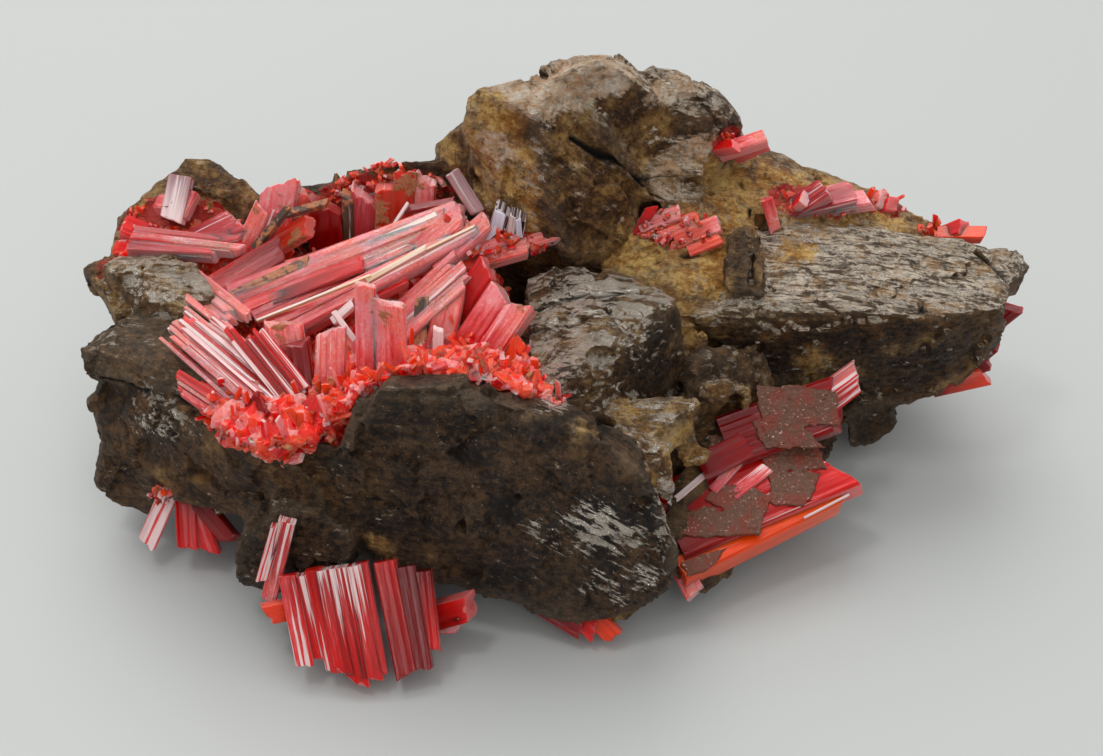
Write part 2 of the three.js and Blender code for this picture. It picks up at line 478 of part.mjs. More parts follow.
// One block: the hull of its corners, broken into facets and roughened, `grow` larger all round.
function block(corners, grow = 0, grain = GRAIN) {
  const hull = new ConvexGeometry(corners.map((c) => new THREE.Vector3(...c)));
  const skin = bare(new TessellateModifier(grain, 9).modify(hull));
  skin.computeVertexNormals();
  const place = skin.attributes.position;
  const p = new THREE.Vector3();
  const outward = new THREE.Vector3();
  for (let i = 0; i < place.count; i++) {
    p.fromBufferAttribute(place, i);
    outward.fromBufferAttribute(skin.attributes.normal, i);
    p.addScaledVector(outward, wander(p) + grow);
    place.setXYZ(i, p.x, p.y, p.z);
  }
  return solidOf(skin);
}

function rock(grow) {
  const grainOf = (name) => (BURIED.includes(name) ? COARSE_GRAIN : GRAIN);
  return join(Object.entries(BLOCKS).map(([name, corners]) => block(corners, grow, grainOf(name))));
}

const TABLE_DEPTH = 20;
const tableBox = new THREE.BoxGeometry(200, 200, TABLE_DEPTH);
tableBox.translate(0, 0, -TABLE_DEPTH / 2);
const table = solidOf(tableBox);
const matrixSolid = mainBody(rock(0).subtract(table));
const rockAndGap = rock(CLEARANCE);

// ---------- crystals ----------
// A four-sided prism about its middle line, its two ends cut at a slant.
function crystal([start, end, width, thickness, facing]) {
  const from = new THREE.Vector3(...start);
  const axis = new THREE.Vector3(...end).sub(from);
  const length = axis.length();
  axis.normalize();
  const across = new THREE.Vector3(...facing).cross(axis).normalize();
  const face = new THREE.Vector3().crossVectors(axis, across);
  const prism = new THREE.BoxGeometry(width, thickness, length);
  prism.translate(0, 0, length / 2);
  const place = prism.attributes.position;
  for (let i = 0; i < place.count; i++) {
    place.setZ(i, place.getZ(i) + END_SLANT * place.getX(i));
  }
  prism.applyMatrix4(new THREE.Matrix4().makeBasis(across, face, axis).setPosition(from));
  return solidOf(prism);
}

function mix(a, b, t) {
  return a.map((value, i) => value + (b[i] - value) * t);
}

// Crystals side by side, each a little longer or shorter and thicker or thinner than the next.
function fan([startA, startB, endA, endB, width, thickness, count], roll) {
  const all = [];
  for (let i = 0; i < count; i++) {
    const t = (i + 0.7 * (roll() - 0.5) + 0.5) / count;
    const start = mix(startA, startB, t);
    const end = mix(start, mix(endA, endB, t), 0.82 + 0.18 * roll());
    end[2] += 0.8 * (roll() - 0.5);
    const size = 0.75 + 0.5 * roll();
    const facing = [0.9 * (roll() - 0.5), -0.3 + 0.6 * (roll() - 0.5), 1];
    all.push([start, end, width * size, thickness * size, facing]);
  }
  return all;
}

// A group as one solid: its bed and crystals grown together, clear of the rock.
function group({ bed = [], fans = [], crystals = [] }, seed) {
  const roll = dice(seed);
  const fanned = fans.flatMap((f) => fan(f, roll));
  const mass = bed.map((corners) => block(corners, 0, COARSE_GRAIN));
  const prisms = [...fanned, ...crystals].map(crystal);
  return mainBody(join([...mass, ...prisms]).subtract(rockAndGap).subtract(table));
}

// ---------- the assembly ----------
const specimen = new THREE.Group();

function addNode(name, solid, colour, roughness) {
  const material = new THREE.MeshStandardMaterial({ color: colour, roughness, metalness: 0 });
  const mesh = new THREE.Mesh(geometryOf(solid), material);
  mesh.name = name;
  specimen.add(mesh);
}

addNode("matrix", matrixSolid, STONE_COLOUR, 0.8);
addNode("vug_crystals", group(VUG, VUG_SEED), CROCOITE_COLOUR, 0.2);
Object.entries(GROUPS).forEach(([name, crystals], i) => {
  addNode(name, group(crystals, VUG_SEED + 1 + i), CROCOITE_COLOUR, 0.2);
});

// the origin is under the middle of the whole specimen, on the surface that it lies on
const middle = new THREE.Box3().setFromObject(specimen).getCenter(new THREE.Vector3());
specimen.position.set(-middle.x, -middle.y, 0);

export default specimen;
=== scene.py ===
"""Crocoite on matrix: a lump of dark oxide rock with a hollow full of red crocoite prisms.

Lengths in the tables below are millimetres in the specimen's drawing, whose zero lies ORIGIN away from
the part's own origin. Every mesh is made in metres in the part's frame.
"""

import math

import bmesh
import bpy
import numpy as np
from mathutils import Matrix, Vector


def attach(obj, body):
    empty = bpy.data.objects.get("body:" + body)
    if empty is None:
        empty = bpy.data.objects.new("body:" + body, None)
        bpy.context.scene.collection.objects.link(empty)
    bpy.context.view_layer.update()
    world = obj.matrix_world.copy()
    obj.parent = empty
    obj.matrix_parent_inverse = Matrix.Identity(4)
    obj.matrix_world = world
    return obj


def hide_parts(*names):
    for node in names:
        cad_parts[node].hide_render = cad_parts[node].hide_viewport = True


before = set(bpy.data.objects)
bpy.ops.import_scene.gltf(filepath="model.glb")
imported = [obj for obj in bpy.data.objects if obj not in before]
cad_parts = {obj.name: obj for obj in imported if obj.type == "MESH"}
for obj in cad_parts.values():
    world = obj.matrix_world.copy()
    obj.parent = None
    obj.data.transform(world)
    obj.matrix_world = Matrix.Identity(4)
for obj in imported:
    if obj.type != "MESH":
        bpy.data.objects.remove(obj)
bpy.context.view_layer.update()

MM = 0.001
ORIGIN = np.array((-0.327, -1.645, 0.0))

# ---------------------------------------------------------------- sizes and counts
ROCK_VOXEL = 0.40  # mesh size of the rock before it is thinned out
ROCK_KEPT = 0.50  # share of its faces that are kept
EDGE_REACH = 0.8  # how far from a block's edge the rock is worn
EDGE_TURN = 0.9  # cosine of the least turn between two faces that makes an edge
BED_VOXEL = 0.5  # mesh size of the glassy bed under the prisms
COAT_VOXEL = 0.15
COAT_THICKNESS = 0.22
COAT_DEPTH = 0.3  # how far a coat reaches into its crystal
COAT_STEP = 0.6  # length of the uneven steps along its edge
BLADE_WIDTH = 3.2  # a wide crystal is several blades about this wide, grown side by side
BLADE_OVERLAP = 1.06
LOOSE = 0.15  # how much its blades differ
GROOVE_PITCH = 0.42  # width of the fine facets along a crystal
GROOVE_DEPTH = 0.16
CUT_CORNER = 0.09  # its long edges are cut off by this share of its lesser width
RAGGED = 0.22  # how unevenly a crystal is broken off at its end, in widths
END_STEPS = 12  # in at most so many steps
END_STEP = 0.5  # that are at least so wide
WORN_EDGE = 0.1  # bevel round the end of a crystal
TAPER = 0.12  # how much the most pointed crystals narrow
NEEDLE_TAPER = 0.5  # and the most pointed small ones
END_SLANT = 0.35
SPRIG_SIZE = 0.5  # small crystals on the rock
HOLLOW_SPRIG_SIZE = 0.8  # and in the hollow
HOLLOW_SPRIGS = 900
SPRIG_ROOT = 0.7  # how deep they are rooted
SPRIG_LEAN = 1.5  # how much their slants differ
UPWARD = 0.1  # least upward part of the normal of a face that they grow on
SUNK = 0.8  # a face that lies deeper than this in a block can't be seen
FAR = 1e9
FIRST_SEED = 41
ROLL_STEP = 16807  # the factor and the modulus of a simple random sequence
ROLL_LIMIT = 2147483647

# how a smooth skin is broken into rock: sizes and depths in millimetres, slopes as rise over run
ROCK_BREAKS = {
    "Setback": 0.10, "Lump Size": 7.0, "Lump Depth": 0.30, "Chip Size": 5.0, "Chip Slope": 0.14,
    "Small Chip Size": 1.7, "Small Chip Slope": 0.08, "Grain Size": 0.8, "Grain Depth": 0.07,
    "Worn Edge": 0.35, "Layer Height": 1.3, "Layer Depth": 0.25, "Ripple Depth": 0.20,
}
BED_BREAKS = {
    "Setback": 0.0, "Lump Size": 5.0, "Lump Depth": 1.2, "Chip Size": 2.6, "Chip Slope": 0.5,
    "Small Chip Size": 1.2, "Small Chip Slope": 0.5, "Grain Size": 0.8, "Grain Depth": 0.05,
}
COAT_BREAKS = {
    "Setback": 0.0, "Lump Size": 2.0, "Lump Depth": 0.10, "Chip Size": 1.5, "Chip Slope": 0.05,
    "Small Chip Size": 0.8, "Small Chip Slope": 0.05, "Grain Size": 0.5, "Grain Depth": 0.08,
    "Layer Depth": 0.0, "Ripple Depth": 0.0,
}
RIPPLE_TURN = (0.1, 0.25, -0.15)
RIPPLE_STRETCH = (0.22, 1.0, 1.0)
BEDDING_TURN = (0.0, 0.05, -0.10)  # the way the rock's streaks run
SLANT_TURN = (0.0, 0.60, -0.10)  # and where it is slanted
STREAK_LENGTH = 6.0  # in widths

# ---------------------------------------------------------------- colours
# a crystal's own colour, then how much of it carries painted silvery glints, frosted pink (partly
# painted sheen on faces turned to the light) and coated brown
CROCOITE = {
    "red": ((0.74, 0.009, 0.007), 0.10, 0.40, 0.05),
    "orange": ((0.98, 0.070, 0.012), 0.05, 0.22, 0.00),
    "pink": ((0.84, 0.022, 0.026), 0.12, 1.00, 0.28),
    "dark": ((0.28, 0.002, 0.002), 0.00, 0.00, 0.00),
    "amber": ((1.00, 0.085, 0.006), 0.06, 0.04, 0.00),
    "rust": ((0.72, 0.050, 0.018), 0.10, 0.30, 0.46),
    "dusty": ((0.76, 0.090, 0.070), 0.12, 0.85, 0.40),
    "lilac": ((0.76, 0.060, 0.085), 0.30, 1.00, 0.12),
    "mauve": ((0.50, 0.045, 0.055), 0.30, 0.60, 0.15),
    # silver: red with many painted glint lines, white streaks standing in for light caught along the
    # crystals
    "silver": ((0.84, 0.030, 0.030), 0.69, 0.50, 0.00),
    # painted highlights: white and straw are highlights coloured in as crystals
    "white": ((0.96, 0.72, 0.70), 0.60, 0.60, 0.00),
    "straw": ((0.96, 0.66, 0.36), 0.60, 0.00, 0.00),
    "brown": ((0.09, 0.050, 0.030), 0.25, 0.00, 0.58),
    # painted light: pearl is a painted sheen, mirror a painted white reflection and ink a painted dark
    # reflection, each coloured in as a crystal
    "pearl": ((0.60, 0.36, 0.38), 0.45, 0.00, 0.00),
    "mirror": ((0.84, 0.83, 0.95), 0.00, 0.00, 0.00),
    "ink": ((0.020, 0.012, 0.018), 0.60, 0.00, 0.00),
}
# painted shade: down toward its foot in the hollow a crystal is darkened and its frost weakened
FOOT_SHADE = np.array((0.70, 0.70, 0.70, 1.0, 0.55, 1.0))  # a crystal's foot is darker and less frosted
DRUSE_COLOURS = ("orange", "pink", "orange", "red", "orange", "rust")
CROCOITE_IOR = 2.3

# colours between which a noise changes
FROST_SHEEN_TINTS = (0.96, 0.130, 0.070), (0.96, 0.220, 0.250)
COATING = (0.16, 0.045, 0.018), (0.74, 0.280, 0.110)
DRUSE = (0.94, 0.028, 0.020), (1.0, 0.120, 0.055)
DRUSE_DUST = (0.20, 0.040, 0.012), (0.60, 0.22, 0.06)
COAT_BROWN = (0.045, 0.018, 0.010), (0.22, 0.100, 0.062)
WEATHERED = (0.10, 0.062, 0.034), (1.0, 0.89, 0.76)
METAL = (0.66, 0.60, 0.52), (1.0, 0.98, 0.94)
CRUST = (0.42, 0.006, 0.005), (0.72, 0.10, 0.08)
MOTTLED = {
    "brown": ((0.058, 0.022, 0.003), (0.380, 0.170, 0.032)),
    "dark": ((0.003, 0.0016, 0.0010), (0.130, 0.072, 0.036)),
    "ochre": ((0.44, 0.180, 0.026), (1.0, 0.700, 0.250)),
    "stale": ((0.16, 0.100, 0.052), (0.80, 0.580, 0.340)),
    "chalk": ((0.74, 0.47, 0.29), (1.0, 0.95, 0.85)),
}
FROST_SHEEN_COLOUR = (1.0, 0.46, 0.46)
RIM_HIGHLIGHT_COLOUR = (1.0, 0.60, 0.58)
PAINTED_HIGHLIGHT_COLOUR = (0.95, 0.80, 0.78)
DRUSE_PINK = (1.0, 0.34, 0.33)
COAT_RED = (0.18, 0.040, 0.024)
COAT_GLINT_SPECK = (0.70, 0.42, 0.34)
RUSTY = (0.60, 0.340, 0.130)
RUSTY_CHALK = (0.62, 0.350, 0.150)
WORN_COLOUR = (0.34, 0.26, 0.18)
PIT_SHADE_COLOUR = (0.020, 0.012, 0.007)
CRACK_SHADE_COLOUR = (0.006, 0.004, 0.003)
ROCK_TINT = (1.0, 0.95, 0.87)

# ---------------------------------------------------------------- crystals
# A crystal is (start, end of its middle line, width, thickness, the way its broad faces look, colours).
# A fan is (two starts, two ends, width, thickness, count, colours): crystals side by side between them.
# Colours are one name, or two for a crystal that changes from its start to its end.
UP = (0, -0.3, 1)
FRONT = (0, -1, 0.5)

VUG_BED = [
    [
        (-44, 8, 13), (-44, 8, 22), (-36, -8, 13), (-36, -8, 22), (-24, -16, 13), (-24, -16, 23),
        (-8, -14, 13), (-8, -14, 24), (-3, 0, 13), (-3, 0, 24), (-8, 14, 13), (-8, 14, 25),
        (-30, 19, 13), (-30, 19, 22), (-44, 16, 13), (-44, 16, 22),
    ],
    [
        (-20, -12, 20), (-20, -12, 25.5), (-7, -13, 25), (-3.5, -8, 26), (-4, -3, 27), (-8, -1, 26.5),
        (-18, -4, 25.5), (-6, -13, 20), (-4, -3, 20), (-18, -2, 20),
    ],
    [
        (-39, -10, 18), (-39, -11.6, 24.7), (-33, -18, 24.8), (-26, -18.6, 25.4), (-25, -12, 26),
        (-36, -8, 25.5), (-28, -16, 18), (-26, -10, 18),
    ],
    # the ragged shelf at the foot of the tall block
    [
        (-13, 8, 29.4), (-4, 8, 29.8), (1.6, 9.2, 30.4), (-3, 11.5, 31.6), (-12, 12, 31.8),
        (-10, 10, 28.4), (0.5, 9.5, 29.6),
    ],
    # the crust on the boulder's inner edge
    [
        (-18, -8, 26), (-16.5, -12.6, 31.2), (-10, -13, 31.4), (-6.5, -14.4, 30.8), (-3, -15.4, 30.2),
        (1, -15.8, 28.8), (2, -13, 26), (-2, -6, 26.5), (-9, -6, 27), (-14, -7, 20), (-1, -10, 20),
    ],
    [
        (-26, -17.6, 25.2), (-22.6, -16.2, 28.4), (-20.4, -14.4, 30.4), (-16, -12.4, 31), (-17, -8, 26),
        (-26, -11, 26), (-24, -14, 20), (-18, -10, 20),
    ],
    [
        (-52, 16, 24), (-50, 20, 25.5), (-36, 20, 26), (-34, 14, 25), (-50, 13, 24), (-50, 13, 18),
        (-34, 13, 18), (-36, 20, 18), (-50, 20, 18),
    ],
]

VUG_FANS = [
    # the long ones that run from the left edge up to the foot of the tall block
    (
        (-37.5, 6.5, 25), (-31, -1, 25), (-11, 14, 31.5), (-8.5, 9.5, 31.5), 1.6, 1.9, 9,
        ("pink", "red", "pink", "lilac"),
    ),
    (
        (-32, 6, 24.5), (-29, 0, 24.5), (-15, 11, 29.5), (-12, 6.5, 29.5), 1.5, 2.0, 7,
        ("pink", "red", "lilac"),
    ),
    (
        (-37, 10, 25), (-35, 6, 25), (-22, 11.5, 28.5), (-21, 8, 28.5), 1.5, 1.5, 6,
        ("dusty", "pink", "red"),
    ),
    # the fluted ones right of the upright pair
    ((-18.5, 3, 25.5), (-17.5, -3, 25), (-10.5, 7.5, 31), (-8.5, 3, 30), 1.2, 2, 7, ("pink", "lilac")),
    # the slender ones that fan out over the left bank
    (
        (-27, -10, 25), (-32, -14.5, 24), (-41, 1, 29), (-44, -4, 28), 0.62, 0.9, 24,
        ("silver", "red", "silver", "lilac", "pink"),
    ),
    (
        (-26.5, -10, 25.5), (-29.5, -12, 25), (-31.5, -5, 29.3), (-37, -4, 29.5), 0.5, 0.8, 13,
        ("silver", "red"),
    ),
    ((-30, -14, 23.5), (-33, -16, 23), (-41, -8, 27), (-43, -9.5, 26), 0.6, 0.9, 8, ("pink", "red")),
    # the ones that lie across the left edge and along it
    (
        (-42.5, 10.5, 26), (-42.5, 7, 25.5), (-32.5, 0, 26.5), (-37, -2, 26.5), 1.5, 1.5, 6,
        ("dusty", "pink"),
    ),
    (
        (-49.5, 16.8, 26.7), (-50, 13.5, 25.8), (-34, 13, 27.4), (-38, 11, 26.8), 1.2, 1.5, 7,
        ("lilac", "mauve", "pink", "red"),
    ),
]

VUG_CRYSTALS = [
    # the flat upright pair
    ((-20.4, -10, 23), (-20.3, -4, 35.5), 2.2, 1.6, FRONT, "pink"),
    ((-17.7, -10, 23), (-17.7, -5, 34), 3.5, 1.8, FRONT, "pink"),
    # broad end faces right of the pair
    ((-11.5, 1.5, 25), (-7, 5.2, 30.6), 2.8, 2.4, UP, ("dark", "red")),
    ((-10.5, -3.5, 24), (-5.4, 1.2, 30.2), 2.9, 2.8, UP, ("red", "pink")),
    ((-8.5, -6.5, 24), (-3.4, -1.8, 30.2), 2.8, 2.8, UP, ("red", "pink")),
    ((-13, -5, 24), (-11.4, 2.5, 28.4), 3.0, 2.0, UP, ("dark", "dusty")),
    ((-15, -3.5, 24), (-14.6, 2.5, 28.2), 1.7, 1.4, UP, "brown"),
    ((-12.7, -4.4, 25.6), (-12.6, -3, 28.3), 1.1, 0.9, FRONT, "white"),
    ((-16.8, -7.5, 25), (-6.3, -6.2, 27), 3.2, 1.8, UP, "dusty"),
    # small plates in front of the pair and beside it
    ((-24.6, -9.5, 24), (-24.3, -4.8, 29.8), 3.3, 1.6, FRONT, "lilac"),
    ((-21.8, -5.8, 28.8), (-24.2, -3.3, 31), 0.6, 0.5, UP, "white"),
    ((-24.6, -1.2, 27.6), (-22.2, -0.3, 29.5), 1.0, 0.8, UP, "white"),
    ((-29, -6, 24), (-30, -2.5, 28.8), 4.0, 3.6, UP, "dusty"),
    ((-27.8, -9, 24), (-28.5, -5, 28), 3.2, 2.4, FRONT, "dark"),
    ((-22, -14.5, 23), (-18, -11.5, 26), 2.6, 2, UP, "red"),
    ((-28, -16.5, 22), (-24.5, -13, 26), 2.6, 2.2, UP, "red"),
    ((-34.5, -14.5, 22), (-31, -12.5, 25.6), 3, 2.2, UP, "dark"),
    ((-10, -10.5, 24), (-5, -7.5, 27.6), 2.6, 2, UP, "lilac"),
    ((-14, -12, 24), (-9, -10.5, 27), 3, 2, UP, "orange"),
    ((-6, -7, 24), (-3.2, -4.5, 27.8), 2.2, 2, UP, "orange"),
    # straw-coloured ones, which are painted highlights, and dark plates among the long ones
    ((-33.5, 0.8, 26), (-20.5, 3.7, 30.3), 0.28, 0.6, UP, "straw"),
    ((-21, 3.3, 29.8), (-14.3, 6.9, 31.7), 0.7, 0.8, UP, "straw"),
    ((-15, 6.6, 31.3), (-8.8, 9.4, 33), 0.3, 0.5, UP, "straw"),
    ((-21.5, 9.8, 29.6), (-13.2, 12.8, 32), 0.6, 0.8, UP, "straw"),
    ((-39.5, 7.5, 25), (-31.5, 11.7, 27.8), 3.0, 1.8, (0, -0.8, 1), ("red", "dark")),
    ((-38, 5, 25.3), (-28, 8.8, 28.3), 1.3, 1.2, UP, "brown"),
    ((-32, 4.2, 26), (-21.5, 6.8, 29.4), 1.5, 1.5, UP, ("dark", "red")),
    # the smooth ones at their upper end
    ((-16.5, 8, 29), (-10, 12, 32.6), 2.8, 2.2, UP, "lilac"),
    ((-13.5, 6.8, 28.6), (-7, 11.2, 32.4), 2.4, 2.2, UP, "pink"),
    # plates at the foot of the two rear ridges
    ((-45.5, 17.5, 23.5), (-51.5, 18.5, 26), 2.6, 1.6, UP, "red"),
    ((-43.6, 15.8, 24.6), (-37, 16, 28.6), 3.6, 1.6, UP, "mauve"),
    ((-41.5, 14.5, 26.5), (-36.2, 14, 28), 1.9, 1.4, UP, "mauve"),
    ((-37, 13, 25), (-34, 16.5, 30.3), 2.2, 2, FRONT, "pink"),
    ((-34.8, 13.2, 25), (-32.4, 16.4, 29.8), 1.6, 1.8, FRONT, "mauve"),
    ((-35, 13.2, 26.6), (-30.8, 16.6, 30.4), 0.9, 1.2, UP, "brown"),
    ((-31.4, 16, 29.6), (-26.3, 16.6, 30.8), 0.8, 1, UP, "brown"),
    ((-33.5, 15.2, 25), (-28.5, 15.6, 28.2), 2.6, 1.6, UP, "rust"),
    ((-27, 17, 22), (-27, 19.5, 28.6), 4, 3, FRONT, "dark"),
    ((-24.3, 17, 22), (-24.3, 20, 29.6), 1.3, 2.4, FRONT, "brown"),
    # the dark mirrors, coloured black as a painted dark reflection with painted white reflections in
    # front, and the ragged shelf at the foot of the tall block
    ((-6.8, 10.6, 28.6), (-5.2, 11.2, 34.2), 2.4, 1.6, FRONT, "ink"),
    ((-4.6, 10.2, 28.6), (-3.8, 10.7, 33.9), 1.8, 1.6, FRONT, "ink"),
    ((-13, 8.5, 28.6), (-4, 10.4, 31), 2.4, 1.6, UP, "dusty"),
    ((-9, 8.2, 28.8), (1.5, 10.6, 31), 1.8, 1.4, UP, "dusty"),
    ((-12, 7.5, 28), (-2.5, 9, 30.2), 2.2, 1.6, UP, ("rust", "dusty")),
    ((-6.3, 10.1, 32.2), (-5.9, 10.4, 34.4), 1.3, 0.8, FRONT, "mirror"),
    ((-3.7, 9.7, 31.2), (-3.9, 9.9, 33.6), 0.7, 0.6, FRONT, "mirror"),
    ((-7.6, 9.8, 30.9), (-6.2, 9.9, 32.3), 0.7, 0.6, FRONT, "mirror"),
    ((-4.9, 9.5, 30.3), (-4.4, 9.5, 31.2), 0.8, 0.5, FRONT, "mirror"),
    # the glassy ones along the crest of the rear ridge
    ((-23, 17.5, 22), (-22.3, 20.6, 29.4), 3.2, 3, FRONT, "mauve"),
    ((-20.2, 17.5, 22), (-19.7, 21, 30.2), 2.4, 3, FRONT, "rust"),
    ((-18, 17.5, 23), (-17.2, 21.2, 32), 2.8, 3, FRONT, "rust"),
    ((-15.4, 17, 24), (-14.8, 20.8, 31.6), 2.4, 2.6, FRONT, "dusty"),
    ((-17.4, 15.4, 30.6), (-11.4, 15.6, 31.8), 0.9, 0.8, UP, "dark"),
    ((-18.4, 14.2, 29.6), (-16.8, 15.6, 31.6), 0.4, 0.5, UP, "white"),
    # in the notch between the two rear ridges
    ((-33.5, 18, 24), (-32.4, 21.5, 29.8), 4.2, 3.2, FRONT, "pink"),
    ((-30.6, 18, 24), (-29.6, 21.5, 28.8), 2.4, 3, FRONT, "rust"),
]

HOLLOW = (-24, 0, 25), (32, 24, 12)  # middle and radii of the region that small crystals stand in

# small crystals scattered on the rock: node, the middle and radii of their region, how many
SPRIGS = [
    ("left_ridge_crystals", (-46, 18, 26), (7, 4.5, 4), 70),
    ("left_ridge_crystals", (-31, 20, 26.5), (5, 3, 3), 50),
    ("left_ridge_crystals", (-21, 20.5, 30), (9, 3, 3.5), 110),
    ("saddle_crystals", (14.5, 13.2, 29.3), (4.4, 2.4, 2), 90),
    ("tower_crystals", (22.5, 21, 36), (2.5, 2.5, 2), 10),
    ("rear_crystals", (32, 20, 29), (6, 2.5, 2), 30),
    ("rear_edge_crystals", (39, 21.5, 26.5), (4, 2, 2), 14),
    ("rear_corner_crystals", (47.5, 18.5, 25.5), (4, 2, 1.5), 16),
    ("lower_left_crystals", (-43, -8, 9), (4, 3, 3), 30),
]

